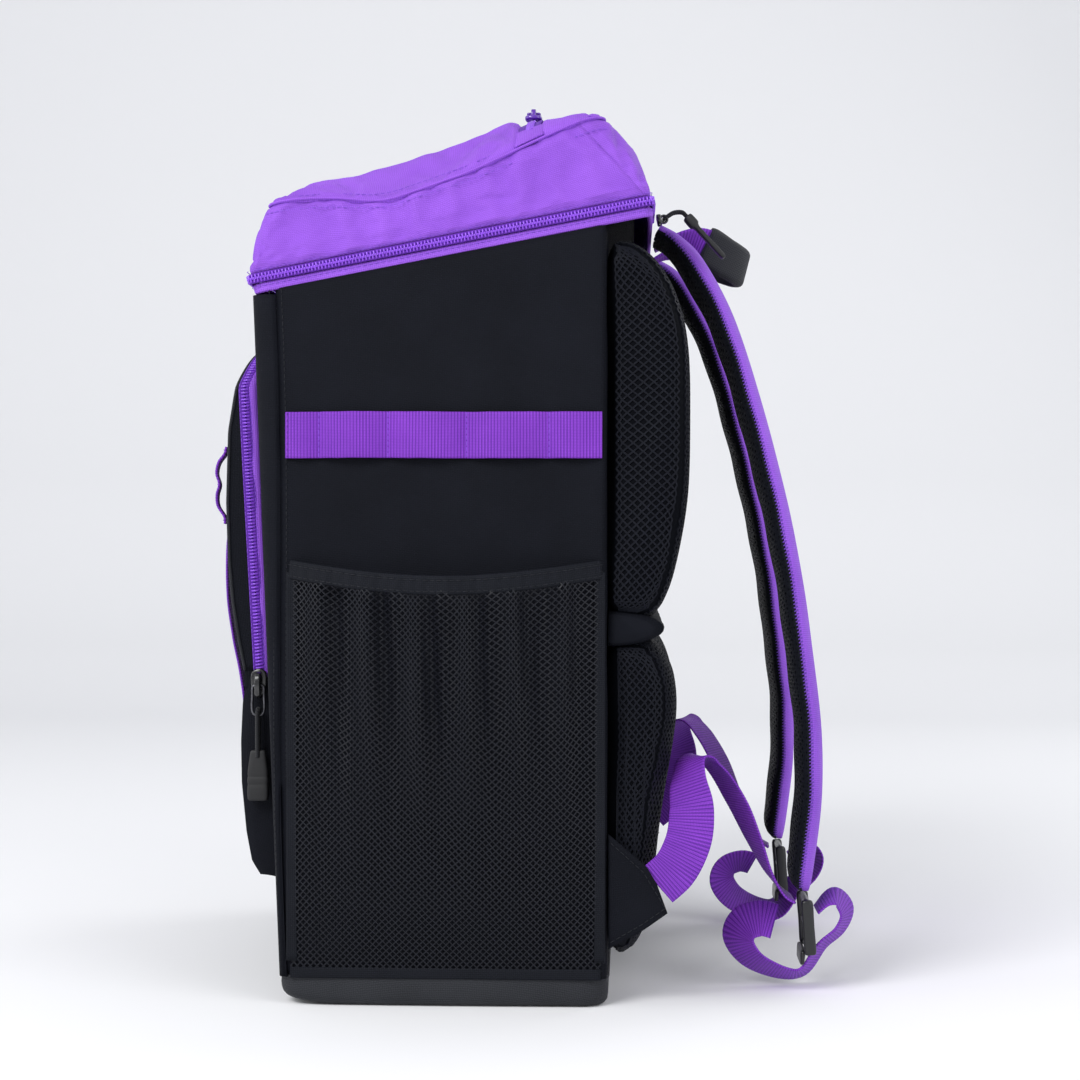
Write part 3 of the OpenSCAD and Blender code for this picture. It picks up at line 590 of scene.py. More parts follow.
# Two hidden stiffeners keep their CAD shape: grey fibreboard, speckled and slightly rough
board = speckled("fibreboard", 0.7, 900.0, (0.02, 0.02, 0.022), (0.09, 0.09, 0.095), 0.3, 0.0004, 3.0)
for node in ("base_board", "frame_sheet"):
    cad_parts[node].data.materials.clear()
    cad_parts[node].data.materials.append(board)

# ---- Collar band and lid zip ----------------------------------------------------------------
# A purple band is bound over the body's rim. A coil zip runs round three sides of it: two
# woven tapes, each with one row of plastic loops. The lower half is sewn to the bag and the
# upper half to the lid, and one row of thread holds each tape.
purple_cloth = woven("purple_cloth", (0.135, 0.034, 0.38), (0.335, 0.115, 0.74), 0.00105, 0.6, 0.25)
zip_cloth = woven("zip_cloth", (0.05, 0.009, 0.2), (0.15, 0.034, 0.44), 0.0007, 0.55, 0.15)


def plastic(name, tone, roughness, mottle=0.25, coat=0.0):
    """Moulded plastic or enamelled metal: one tone, faint mottling and a fine moulded grain."""
    material, nodes, shader = shader_of(name, roughness, Coat_Weight=coat, Coat_Roughness=0.2)
    where = nodes.add("ShaderNodeTexCoord").outputs["Object"]
    cloud = nodes.add("ShaderNodeTexNoise", {"Vector": where, "Scale": 240.0, "Detail": 4.0})
    tones = nodes.tint(cloud.outputs["Fac"], [c * (1 - mottle) for c in tone],
                       [c * (1 + mottle) for c in tone])
    nodes.tree.links.new(tones, shader.inputs["Base Color"])
    grain = nodes.add("ShaderNodeTexNoise", {"Vector": where, "Scale": 1600.0, "Detail": 2.0})
    nodes.tree.links.new(
        nodes.maths("MULTIPLY_ADD", cloud.outputs["Fac"], 0.2, roughness - 0.1), shader.inputs["Roughness"])
    add_bump(nodes, shader, grain.outputs["Fac"], 0.12, 0.0002)
    return material


purple_thread = plastic("purple_thread", (0.20, 0.06, 0.55), 0.45)
coil_plastic = plastic("coil_plastic", (0.24, 0.06, 0.66), 0.3, coat=0.25)


mouth_deep = 217.8
above_bag = np.array([0, 0, 400])


def outwards(along, up, places):
    """The direction across a line on cloth at each place, away from the bag's middle."""
    way = np.cross(along, up)
    return way * np.sign(np.sum(way * (places - above_bag), axis=1, keepdims=True))


def mouth_line(out, rise, gap_half=None, corner=3.0):
    """A run round the bag's mouth in the zip's plane, from the rear right by the front to the
    rear left, standing out and up by the given amounts. It leaves a gap in the rear's middle
    if gap_half says so."""
    w, f, b = half_width + out, -out, mouth_deep + out
    turn = np.linspace(0, math.pi / 2, 7)
    c = corner
    parts = [
        [(gap_half or 0, b)],
        np.stack([w - c + c * np.sin(turn), b - c + c * np.cos(turn)], -1),
        np.stack([w - c + c * np.cos(turn), f + c - c * np.sin(turn)], -1),
        np.stack([-w + c - c * np.sin(turn), f + c - c * np.cos(turn)], -1),
        np.stack([-w + c - c * np.cos(turn), b - c + c * np.sin(turn)], -1),
        [(-(gap_half or 0), b)],
    ]
    flat = np.concatenate([np.asarray(p, float) for p in parts])
    return zip_start + flat[:, :1] * np.array([1.0, 0, 0]) + flat[:, 1:] * slope + rise * off_slope


def flat_oval(wide, tall, edge=3, across=6):
    """A closed flat profile with round edges: straight top and bottom, half circles between."""
    r = tall / 2
    turn = np.linspace(0, math.pi, edge + 2)
    span = np.linspace(-1, 1, across + 1)[1:-1] * (wide / 2 - r)
    right = np.stack([wide / 2 - r + r * np.sin(turn), -r * np.cos(turn)], -1)
    top = np.stack([span[::-1], np.full(len(span), r)], -1)
    return np.concatenate([right, top, -right, -top])


collar_line, _ = evenly(mouth_line(-1.2, -5.2, corner=4.0)[1:-1], 3.0, closed=True)
collar = swept("collar_cloth", collar_line, off_slope, flat_oval(5.4, 2.6), closed=True)
finished(collar, purple_cloth, "bag", ["collar_band"])

zip_gap_half = 84.0
lower_tape_line, _ = evenly(mouth_line(0.6, -1.45, zip_gap_half), 2.5)
lower_tape = swept("lid_zip_tape_lower", lower_tape_line, off_slope, flat_oval(2.4, 1.3))
finished(lower_tape, zip_cloth, "bag", ["lid_zip_lower"])
upper_tape_line, _ = evenly(mouth_line(0.6, 1.75, zip_gap_half), 2.5)
upper_tape = swept("lid_zip_tape_upper", upper_tape_line, off_slope, flat_oval(2.2, 1.3))
finished(upper_tape, zip_cloth, "lid", ["lid_zip_upper"])
coil_pitch = 1.85
coil_loop = bead(2.9, 1.15, 1.9, 8, ((-1, 0.45), (-0.8, 0.9), (0.3, 0.8), (0.75, 1.0), (1, 0.55)))
coil_at, coil_along = evenly(mouth_line(1.45, 0, zip_gap_half), coil_pitch)
out_way = outwards(coil_along, off_slope, coil_at)
for name, rise, shift, body in (("lid_coil_lower", -0.75, 0.0, "bag"), ("lid_coil_upper", 0.75, 0.5, "lid")):
    at = coil_at + coil_along * coil_pitch * shift + off_slope * rise
    loops = strewn(name, coil_loop, at, -off_slope * np.sign(rise), out_way)
    finished(loops, coil_plastic, body)
for name, out, rise, body in (("collar_stitch", 0.25, -4.4, "bag"), ("lid_stitch_low", 1.2, 4.2, "lid")):
    line = mouth_line(out, rise, zip_gap_half + 4)
    at, along = evenly(line, 3.4)
    way = outwards(along, off_slope, at)
    row = strewn(name, bead(2.5, 0.5, 0.5), at + way * 0.1, along, way)
    finished(row, purple_thread, body)

# ---- Side webbing strips ----------------------------------------------------------------------
# One length of ribbed purple webbing across each side, sewn down at six places so that it
# stands off in five low loops. Each tack is three rows of thread.
rib = 1.7
# The webbing's colour carries painted shade between its ribs and in the gaps of its weave.
webbing_cloth = woven("webbing_cloth", (0.06, 0.007, 0.21), (0.31, 0.062, 0.68), 0.0008, 0.5, 0.15,
                      rib_m=rib / 1000)


def webbing(name, line, side, wide=25.0, thick=1.4, seed=0, step=0.42):
    """Ribbed webbing along a line: two ribbed faces and round edges. Each rib crosses the
    width in a shallow zigzag, and its height is 0.17 (|sin(pi (v + zigzag) / rib)| - 0.6)."""
    line, side = np.asarray(line, float), np.asarray(side, float)
    both, _ = evenly(np.concatenate([line, np.broadcast_to(side, line.shape)], 1), step)
    path, side = both[:, :3], both[:, 3:]
    profile = flat_oval(wide, thick, 2, 18)
    far = np.concatenate([[0], np.cumsum(np.linalg.norm(np.diff(path, axis=0), axis=1))])[:, None]
    zigzag = 0.45 * np.abs((profile[None, :, 0] / 2.1) % 2 - 1)
    ribs = 0.17 * (np.abs(np.sin((far + zigzag) * math.pi / rib)) - 0.6)
    flat = np.clip(1.3 - np.abs(profile[None, :, 0]) / (wide / 2) * 0.6, 0, 1)
    uneven = 0.12 * ripple(far, profile[None, :, 0] * 0.1, seed, 3, 30)
    grown = np.stack([
        np.broadcast_to(profile[:, 0], ribs.shape) + uneven,
        profile[None, :, 1] + np.sign(profile[None, :, 1]) * ribs * flat], -1)
    return swept(name, path, side, grown)


def catmull(points, steps):
    """A smooth line through points: the Catmull-Rom cubic, steps to each stretch."""
    p = np.asarray(points, float)
    p = np.concatenate([p[:1], p, p[-1:]])
    t = np.arange(steps)[:, None] / steps
    a, b, c, d = (p[k:len(p) - 3 + k, None] for k in range(4))
    run = 0.5 * (2 * b + (c - a) * t + (2 * a - 5 * b + 4 * c - d) * t**2 + (3 * b - a - 3 * c + d) * t**3)
    return np.concatenate([run.reshape(-1, p.shape[1]), p[-1:]])


strip_seams = np.array([-84.0, -66, -29, 13, 57, 85])
strip_low, strip_high = box_mm("side_strip_right")
strip_mid = (strip_low[2] + strip_high[2]) / 2
for side, hand in hands:
    t = np.linspace(0, 1, 15)[:-1]
    run_y = np.concatenate([(strip_seams[:-1, None] + np.diff(strip_seams)[:, None] * t).ravel(), [85.0]])
    bow = np.concatenate([np.tile(3.1 * np.sin(math.pi * t) ** 0.8, 5), [0.0]])
    bow[:14] *= 0.4
    bow[-15:-1] *= 0.7
    line = np.stack([side * (half_width + 1.0 + bow), run_y, np.full(len(run_y), strip_mid)], -1)
    line[:, 2] += 0.5 * ripple(run_y, run_y * 0, 20 + side, 3, 200)
    strip = webbing(f"side_webbing_{hand}", line, (0, 0, 1.0), seed=4 + side)
    finished(strip, webbing_cloth, "bag", [f"side_strip_{hand}"])
    rows = []
    for seam in strip_seams:
        for off in (-1.5, 0.0, 1.5):
            at_y = np.clip(seam + off, -83, 83.6)
            rows.append(np.stack([np.full(8, side * (half_width + 1.85)), np.full(8, at_y),
                                  strip_mid + np.linspace(-10.8, 10.8, 8)], -1))
    at = np.concatenate(rows)
    tack = strewn(f"side_tacks_{hand}", bead(2.5, 0.55, 0.5), at, (0, 0, 1.0), (side, 0, 0))
    finished(tack, purple_thread, "bag")

# ---- Mesh side pockets ------------------------------------------------------------------------
# Knitted black netting with diamond holes. It is sewn into the side's edges and foot, held by
# a folded elastic at the mouth, and gathered under it, so that it falls in soft upright folds.
netting_black = speckled("netting_yarn", 0.42, 700.0, (0.001, 0.0013, 0.0026), (0.011, 0.0125, 0.02), 0.4,
                         0.0003, Sheen_Weight=0.02, Specular_IOR_Level=0.22)
elastic_cloth = woven("elastic_cloth", (0.0015, 0.0018, 0.003), (0.011, 0.0125, 0.018), 0.0011, 0.6, 0.05,
                      shine=0.1)


def net(name, knots, wide, tall):
    """A diamond net on a grid of knots half a mesh apart. Between one knot and the next across
    each small square, in turn to left and right, runs a closed four-sided strand."""
    up = grid_normals(knots)
    rows, cols = knots.shape[:2]
    i, j = np.meshgrid(np.arange(rows - 1), np.arange(cols - 1), indexing="ij")
    even = (i + j) % 2 == 0
    a_i, a_j, b_i, b_j = i, np.where(even, j, j + 1), i + 1, np.where(even, j + 1, j)
    start, stop = knots[a_i, a_j].reshape(-1, 3), knots[b_i, b_j].reshape(-1, 3)
    normal = (up[a_i, a_j] + up[b_i, b_j]).reshape(-1, 3)
    along = unit(stop - start)
    side = unit(np.cross(normal, along))
    normal = np.cross(along, side)
    corners = np.array([(-1, -1), (1, -1), (1, 1), (-1, 1)]) * 0.5
    rings = []
    for share in (-0.06, 1.06):
        centre = start + (stop - start) * share
        aside = centre[:, None] + side[:, None] * corners[:, :1] * wide
        rings.append(aside + normal[:, None] * corners[:, 1:] * tall)
    points = np.stack(rings, 1)
    a, b = np.arange(4), (np.arange(4) + 1) % 4
    strand = np.concatenate([np.stack([a, b, b + 4, a + 4], -1), [[3, 2, 1, 0], [4, 5, 6, 7]]])
    faces = (strand[None] + np.arange(len(points))[:, None, None] * 8).reshape(-1, 4)
    return put_mesh(name, points, [faces], smooth=False)


mesh_low, mesh_high = box_mm("mesh_pocket_right")
elastic_high = box_mm("pocket_elastic_right")[1]


def pocket_wall(u, v, out=0.0, fold=1.0):
    """The netting's surface. u runs from the front to the back, v from the foot to the mouth.
    It stands off the side as the CAD pocket does, and its folds grow towards the mouth and die
    out at its edges: A(v) times a sum of two waves in u."""
    swell = 1 - np.abs(2 * u - 1) ** 3
    stand = 17.0 * (0.35 * np.minimum(1, 6 * v) + 0.65 * v) * swell
    gather = fold * (0.5 + 3.6 * ease((v - 0.25) / 0.6)) * ease(u * 9) * ease((1 - u) * 9)
    gather = gather * ease((1.0 - v) * 20 + 0.3)
    waves = 0.9 * np.sin(u * math.tau * 6 + 1.3 * np.sin(v * 4 + u * 7))
    waves = waves + 0.5 * np.sin(u * math.tau * 13 + 2.0 + v * 3)
    slack = 0.9 * np.sin(v * 9 + u * 5) * np.sin(math.pi * v) * swell
    x = half_width + 0.8 + stand + gather * waves * 0.7 * np.minimum(1, stand / 6) + slack * 0.8 + out
    y = mesh_low[1] + 0.6 + (mesh_high[1] - mesh_low[1] - 1.2) * u
    mouth = elastic_high[2] - 8.0 * np.sin(math.pi * u)
    z = mesh_low[2] + (mouth - 6.0 - mesh_low[2]) * v
    return x, y, z


net_rows, net_cols = 118, 94
for side, hand in hands:
    v, u = np.meshgrid(np.linspace(0, 1, net_rows), np.linspace(0, 1, net_cols), indexing="ij")
    gathered = u + 0.009 * np.sin(u * math.tau * 6 + 0.6) * ease((v - 0.3) * 1.6)
    x, y, z = pocket_wall(gathered, v)
    z = z - 0.7 * np.sin(u * math.tau * 9 + v * 4) * np.sin(math.pi * v)
    knots = np.stack([side * x, y, z], -1)
    if side < 0:
        knots = knots[:, ::-1]
    netting = net(f"side_netting_{hand}", knots, 0.62, 0.5)
    finished(netting, netting_black, "bag", [f"mesh_pocket_{hand}"])

    # The elastic: a folded band, puckered by the gathers that it holds
    u = np.linspace(0, 1, 170)
    x, y, z = pocket_wall(u, np.ones(170), fold=0.5)
    line = np.stack([side * (x + 0.2), y, z + 1.2], -1)
    pucker = 0.28 * np.sin(u * math.tau * 26)[:, None]
    oval = flat_oval(10.4, 2.4, 3, 8)
    across, thick = oval[None, :, 0], oval[None, :, 1]
    profile = np.stack([np.broadcast_to(across, (170, len(oval))),
                        thick + pucker * np.sign(thick) * np.cos(across / 3.4)], -1)
    band = swept(f"pocket_elastic_cloth_{hand}", line, (0, 0, 1.0), profile)
    finished(band, elastic_cloth, "bag", [f"pocket_elastic_{hand}"])
    for k, drop in enumerate((-3.4, 2.6)):
        row = line + np.array([side * 1.25, 0, drop])
        stitches(f"elastic_stitch_{hand}_{k}", row, (side, 0, 0), seam_black, "bag")

    # Bound edges: the netting's foot and both its sides are turned under a narrow black tape
    edge_v = np.linspace(0.03, 1, 60)
    foot_u = np.linspace(0, 1, 60)
    edges = ((np.full(60, 0.004), edge_v), (np.full(60, 0.996), edge_v), (foot_u, np.zeros(60)))
    for k, (u, v) in enumerate(edges):
        x, y, z = pocket_wall(u, v, fold=0)
        line = np.stack([np.full(60, side * (half_width + 1.1)), y, z], -1)
        across = (0, 1.0, 0) if k < 2 else (0, 0, 1.0)
        tape = swept(f"pocket_edge_{hand}_{k}", line, across, flat_oval(6.0, 1.5, 3, 4))
        finished(tape, elastic_cloth, "bag")

# ---- Back: pads, lumbar pad and wings ---------------------------------------------------------
# Foam pads under black spacer mesh: a dark close backing with a raised net of hexagon holes on
# it. A black cloth wing on either side of the lumbar pad holds the lower webbing.
spacer_back = woven("spacer_back", (0.0006, 0.0008, 0.0014), (0.003, 0.0036, 0.006), 0.0016, 0.75, 0.01,
                    shine=0.05)
spacer_yarn = speckled("spacer_yarn", 0.6, 800.0, (0.0015, 0.0019, 0.0034), (0.0085, 0.0098, 0.0165), 0.4,
                       0.0003, Sheen_Weight=0.02, Specular_IOR_Level=0.1)


def settled(piece, steps=0):
    """A piece's points (n, 3) in metres, with its modifiers on it and its simulation run."""
    for step in range(1, steps + 1):
        bpy.context.scene.frame_set(step)
    shape = piece.evaluated_get(bpy.context.evaluated_depsgraph_get()).data
    points = np.empty(len(shape.vertices) * 3, np.float32)
    shape.vertices.foreach_get("co", points)
    return points.reshape(-1, 3)


def capped(move, cap):
    """Moves cut short where they are longer than the cap."""
    return move * np.minimum(1, cap / np.maximum(np.linalg.norm(move, axis=-1, keepdims=True), 1e-9))


def swollen(piece, pressure, cap_mm, voxel_mm):
    """Pad filling by cloth simulation: the closed form is remeshed evenly and blown up for 20
    steps without gravity. No point may move further than the cap."""
    remesh = piece.modifiers.new("even", "REMESH")
    remesh.mode, remesh.voxel_size = "VOXEL", voxel_mm / 1000
    with bpy.context.temp_override(object=piece, active_object=piece):
        bpy.ops.object.modifier_apply(modifier="even")
    mesh = piece.data
    before = np.empty(len(mesh.vertices) * 3, np.float32)
    mesh.vertices.foreach_get("co", before)
    filling = piece.modifiers.new("filling", "CLOTH")
    filling.settings.quality = 5
    filling.settings.use_pressure = True
    filling.settings.uniform_pressure_force = pressure
    filling.settings.tension_stiffness = filling.settings.compression_stiffness = 30
    filling.settings.bending_stiffness = 2
    filling.settings.effector_weights.gravity = 0
    filling.collision_settings.use_collision = False
    after = settled(piece, 20)
    piece.modifiers.remove(filling)
    bpy.context.scene.frame_set(1)
    before = before.reshape(-1, 3)
    mesh.vertices.foreach_set("co", (before + capped(after - before, cap_mm / 1000)).ravel())
    smooth = piece.modifiers.new("soft", "SMOOTH")
    smooth.factor, smooth.iterations = 0.6, 4
    with bpy.context.temp_override(object=piece, active_object=piece):
        bpy.ops.object.modifier_apply(modifier="soft")
    mesh.polygons.foreach_set("use_smooth", [True] * len(mesh.polygons))
    return piece


def laid_on(name, grid, target, lift):
    """A grid of points moved along its own normals on to a finished piece's surface, and out
    by the lift. The result is a plain array, as a shrinkwrap gives it."""
    rows, cols = grid.shape[:2]
    helper = put_mesh(name, grid, [grid_faces(rows, cols)])
    wrap = helper.modifiers.new("lay", "SHRINKWRAP")
    wrap.target, wrap.wrap_method, wrap.offset = target, "NEAREST_SURFACEPOINT", lift / 1000
    wrap.wrap_mode = "ABOVE_SURFACE"
    points = settled(helper)
    bpy.data.objects.remove(helper)
    return points.reshape(rows, cols, 3).astype(float) * 1000


pad_back = 88.6
net_from, net_swell, net_deep = 92, 3.0, 34


def outline_run(outline, pitch):
    """An outline of (Y, Z) pairs as a smooth line, resampled at a pitch."""
    curve = catmull(np.concatenate([outline, np.zeros((len(outline), 1))], 1), 8)
    return evenly(curve, pitch)[0][:, :2]


def pad(name, outline, x0, x1, nodes, cell, fill):
    """One pad: its side outline carried across, drawn in and rounded at both ends, blown up,
    and then covered with its net."""
    edge = outline_run(outline, 5.0)
    mid_z = (edge[:, 1].min() + edge[:, 1].max()) / 2
    span = np.linspace(0, 1, 27)
    ends = np.minimum(span, 1 - span) * (x1 - x0)
    pull = 1 - 0.16 * (1 - np.sqrt(1 - np.clip(1 - ends / 14, 0, 1) ** 2))
    xs = x0 + (x1 - x0) * span
    depth = edge[:, 0] - pad_back
    ring_y = pad_back + depth[None] * (pull[:, None] * 0.93)
    ring_z = mid_z + (edge[:, 1] - mid_z)[None] * (0.5 + 0.5 * pull[:, None]) * 0.985
    body = np.stack([np.broadcast_to(xs[:, None], ring_y.shape), ring_y, ring_z], -1)
    form = put_mesh(name, body, [f[:, ::-1] for f in tube_faces(len(xs), len(edge))])
    swollen(form, 3.0, 4.0, 5.0)
    finished(form, spacer_back, "bag", nodes)

    # The net: knots over the outer faces, and over both end faces
    skin = outline_run(outline, cell / 2)
    skin = skin[skin[:, 0] > net_from]
    across = np.arange(x0 + 1, x1 - 0.9, cell / 2)
    off = skin - np.array([100.0, mid_z])
    off = skin + unit(off) * net_swell
    over = np.stack(np.broadcast_arrays(across[:, None], off[None, :, 0], off[None, :, 1]), -1)
    over = laid_on(name + "_lay", over, form, 0.35)
    if grid_normals(over)[5, 5] @ (over[5, 5] - [0, 95, mid_z]) < 0:
        over = over[:, ::-1]
    cover = net(name + "_net", over, 1.2, 0.85)
    finished(cover, spacer_yarn, "bag")
    for k, x_end in enumerate((x0, x1)):
        grow_out = -net_swell if k == 0 else net_swell
        low, high = edge[:, 1].min() + 1, edge[:, 1].max() - 1
        levels = np.arange(low, high, cell / 2)
        order = np.argsort(edge[:, 1])
        deep = np.maximum(np.interp(levels, edge[order, 1], edge[order, 0]), net_from)
        shares = np.arange(0, 1.0001, cell / 2 / net_deep)
        end = np.stack(np.broadcast_arrays(
            np.full((len(levels), len(shares)), x_end + grow_out),
            89.5 + (deep[:, None] - 89.5) * shares[None], levels[:, None]), -1)
        end = laid_on(name + "_lay", end, form, 0.3)
        if (grid_normals(end)[len(levels) // 2, len(shares) // 2][0]) * grow_out < 0:
            end = end[:, ::-1]
        finished(net(f"{name}_net_{k}", end, 0.9, 0.8), spacer_yarn, "bag")
    return form


pad_outline = np.array([(pad_back, 206), (98, 204), (108, 204), (117, 212), (124, 232), (130, 275),
                        (131, 330), (130.5, 356), (127, 376), (120, 393), (111, 405), (101, 412),
                        (pad_back, 414)], float)
lumbar_outline = np.array([(pad_back, 24), (102, 26), (109, 60), (114, 100), (121, 140), (123.5, 162),
                           (121, 182), (112, 197), (104, 199), (pad_back, 199)], float)
for side, hand in hands:
    ends = sorted((side * 8.6, side * 145.6))
    pad(f"back_pad_{hand}_cloth", pad_outline, *ends, [f"back_pad_{hand}"], 4.6, 0.7)
pad("lumbar_pad_cloth", lumbar_outline, -143.8, 143.8, ["lumbar_pad"], 4.6, 0.65)

# Bridge: a flattened roll of the back's cloth fills the gap between the pads
bridge_x = np.linspace(-144.0, 144, 70)
bridge_line = np.stack([bridge_x, np.full(70, 88.4), np.full(70, 201.5)], -1)
bridge_turn = np.linspace(0, math.pi, 19)
bridge_ends = (0.8 + 0.2 * ease((144 - np.abs(bridge_x)) / 5))[:, None]
bridge_creases = 0.4 * ripple(bridge_x[:, None], bridge_turn[None] * 20, 33, 4, 70)
bridge_profile = np.stack([
    30.0 * np.sin(bridge_turn)[None] * bridge_ends + bridge_creases,
    -9.5 * np.cos(bridge_turn)[None] * bridge_ends], -1)
bridge_fill = swept("pad_bridge_cloth", bridge_line, (0, 1.0, 0), bridge_profile, around=True)
finished(bridge_fill, body_cloth, "bag")

# Wings: two layers of cloth with a turned edge, seamed to the bag and stitched round
wing_outline = np.array([(88.3, 31), (107.5, 41.7), (122.5, 52.4), (108.6, 75.4), (88.3, 92.5)])
for side, hand in hands:
    lower = evenly(np.c_[wing_outline[:3], np.zeros(3)], 1.6)[0][:24, :2]
    upper = evenly(np.c_[wing_outline[[4, 3, 2]], np.zeros(3)], 1.6)[0][:24, :2]
    count = min(len(lower), len(upper))
    lower, upper = lower[:count], upper[:count]
    t = np.linspace(0, 1, 22)[:, None, None]
    flat = lower[None] * (1 - t) + upper[None] * t
    share = np.linspace(0.02, 0.98, count)
    puff = 0.5 * np.sin(math.pi * t[..., 0]) ** 0.4 * np.sin(math.pi * share)[None] ** 0.4
    wing_x = side * (148.2 + puff + 0.25 * ripple(flat[..., 0], flat[..., 1], 31, 3, 30))
    wing = cloth(f"wing_cloth_{hand}", np.concatenate([wing_x[..., None], flat], -1), 1.7,
                 away_from=(0, 100, 60))
    finished(wing, body_cloth, "bag", [f"anchor_wing_{hand}"])
    inset = np.array([(90.5, 35.5), (106, 44.5), (118.6, 53.3), (107, 72.4), (90.5, 87)])
    row = np.concatenate([np.full((5, 1), side * 149.0), inset], 1)
    stitches(f"wing_stitch_{hand}", row, (side, 0, 0), seam_black, "bag")

# ---- Front pocket -----------------------------------------------------------------------------
# A bellows pocket of black cloth: a purple piped gusset stands off the front, a coil zip runs
# up one side, over the top and down the other, and its front folds out below the zip.
outline_z = np.array([61, 64, 72, 88, 115, 138, 160, 173, 193, 215, 237, 270, 309, 334, 353.0])
outline_y = -np.array([101, 104, 109, 112, 114.6, 115, 114, 111.5, 115.5, 119, 121, 122, 121, 117, 109.0])
pocket_half, pocket_top, pocket_round = 117.0, 353.0, 26.0
fold_z = 174.0


def pocket_zip_y(z):
    """Where the pocket zip lies in side view: a slow lean out, and back over at the top."""
    return -np.interp(z, [100, 175, 300, 334, 356], [99.7, 103.8, 110.7, 112.4, 104])


def pocket_half_at(z):
    """Half of the pocket's width: its top corners are quarter circles."""
    over = np.clip(z - pocket_top + pocket_round, 0, pocket_round)
    return pocket_half - pocket_round + np.sqrt(pocket_round**2 - over**2)


def pocket_front(z, s, seed=0):
    """The pocket's front at height z and share s of its half width: the corner's outline, plus
    a crown (1 - s^2), fullest in the middle of each part, plus the cloth's own creases."""
    rise = np.clip((z - 60) / 299, 0, 1)
    crown = 13.0 * np.sin(math.pi * rise) * (0.55 + 0.45 * np.minimum(1, np.abs(z - fold_z) / 40))
    corner = np.interp(z, outline_z, outline_y)
    w = pocket_half_at(z)
    calm = ease((1 - np.abs(s)) * 7)
    x = s * pocket_half
    crease = 0.9 * ripple(x, z * 0.8, 41 + seed, 4, 120) + 0.35 * ripple(x, z * 1.5, 44 + seed, 3, 40)
    pull = 1.6 * np.exp(-(np.abs(z - fold_z) / 20)) * np.sin(s * 21 + 0.08 * z) * calm
    y = corner - crown * (1 - s * s) + 0.4 - calm * (crease - 0.4) * 0.9 + pull * 0.5
    return np.stack(np.broadcast_arrays(w * s, y, z), -1)


def zip_arch(out, forward, z0, pitch):
    """The run of the pocket zip, standing out from the pocket's side and forward of its line."""
    turn = np.linspace(0, math.pi / 2, 14)
    r = pocket_round + out
    up = np.linspace(z0, pocket_top - pocket_round, 30)
    half = np.concatenate([np.stack([np.full(30, pocket_half + out), up], -1),
                           np.stack([pocket_half - pocket_round + r * np.cos(turn),
                                     pocket_top - pocket_round + r * np.sin(turn)], -1)[1:]])
    whole = np.concatenate([half, half[::-1] * [-1, 1]])
    line = np.stack([whole[:, 0], pocket_zip_y(whole[:, 1]) - forward, whole[:, 1]], -1)
    return evenly(line, pitch)


def arch_out(points):
    """The direction straight out of the pocket's side or top at each point of the arch."""
    centre_z = np.minimum(points[:, 2], pocket_top - pocket_round)
    centre_x = np.sign(points[:, 0]) * np.minimum(np.abs(points[:, 0]), pocket_half - pocket_round)
    out = np.stack([points[:, 0] - np.where(points[:, 2] > centre_z + 0.1, centre_x, 0),
                    np.zeros(len(points)), points[:, 2] - centre_z], -1)
    return unit(out)


# Gusset: a purple wall behind the zip, with a soft piped roll where it meets the zip's tape
gusset_line, _ = zip_arch(-1.0, 0, 173.5, 3.0)
depth = np.linspace(0, 1, 22)[None, :, None]
start = gusset_line.copy()
start[:, 1] = front_y(start[:, 2]) - 0.3
finish = gusset_line.copy()
finish[:, 1] += 0.4
out = arch_out(gusset_line)
roll = 1.9 * np.sqrt(np.clip(1 - ((depth - 0.7) / 0.3) ** 2, 0, 1)) + 0.5 * np.sin(math.pi * depth)
gusset_x, gusset_z = gusset_line[:, 0][:, None, None], gusset_line[:, 2][:, None, None]
roll = roll + 0.35 * ripple(gusset_z, gusset_x + depth * 9, 47, 3, 60)
gusset_grid = start[:, None] * (1 - depth) + finish[:, None] * depth + out[:, None] * roll
gusset = cloth("pocket_gusset_cloth", gusset_grid, 1.4, away_from=(0, 0, 220))
finished(gusset, purple_cloth, "bag", ["pocket_gusset"])

# The zip: a tape on each side of the coil, and the coil's two rows of loops
for name, forward, body in (("inner", -1.9, "bag"), ("outer", 1.9, "front_flap")):
    foot = 175.0 if body == "bag" else 177.5
    line, _ = zip_arch(0.75, forward, foot, 2.5)
    tape = swept(f"pocket_zip_tape_{name}", line, (0, 1.0, 0), flat_oval(3.4, 1.0))
    finished(tape, zip_cloth, body, [f"pocket_zip_{name}"])
    at, _ = zip_arch(1.15, 0.75 * np.sign(forward), foot + (0 if body == "bag" else 0.9), coil_pitch)
    row = strewn(f"pocket_coil_{name}", coil_loop, at, (0, np.sign(forward), 0), arch_out(at))
    finished(row, coil_plastic, body)
    at, along = zip_arch(1.3, forward * 1.62, foot + 1, 3.4)
    row = strewn(f"pocket_zip_stitch_{name}", bead(2.4, 0.5, 0.5), at, along, arch_out(at))
    finished(row, purple_thread, body)

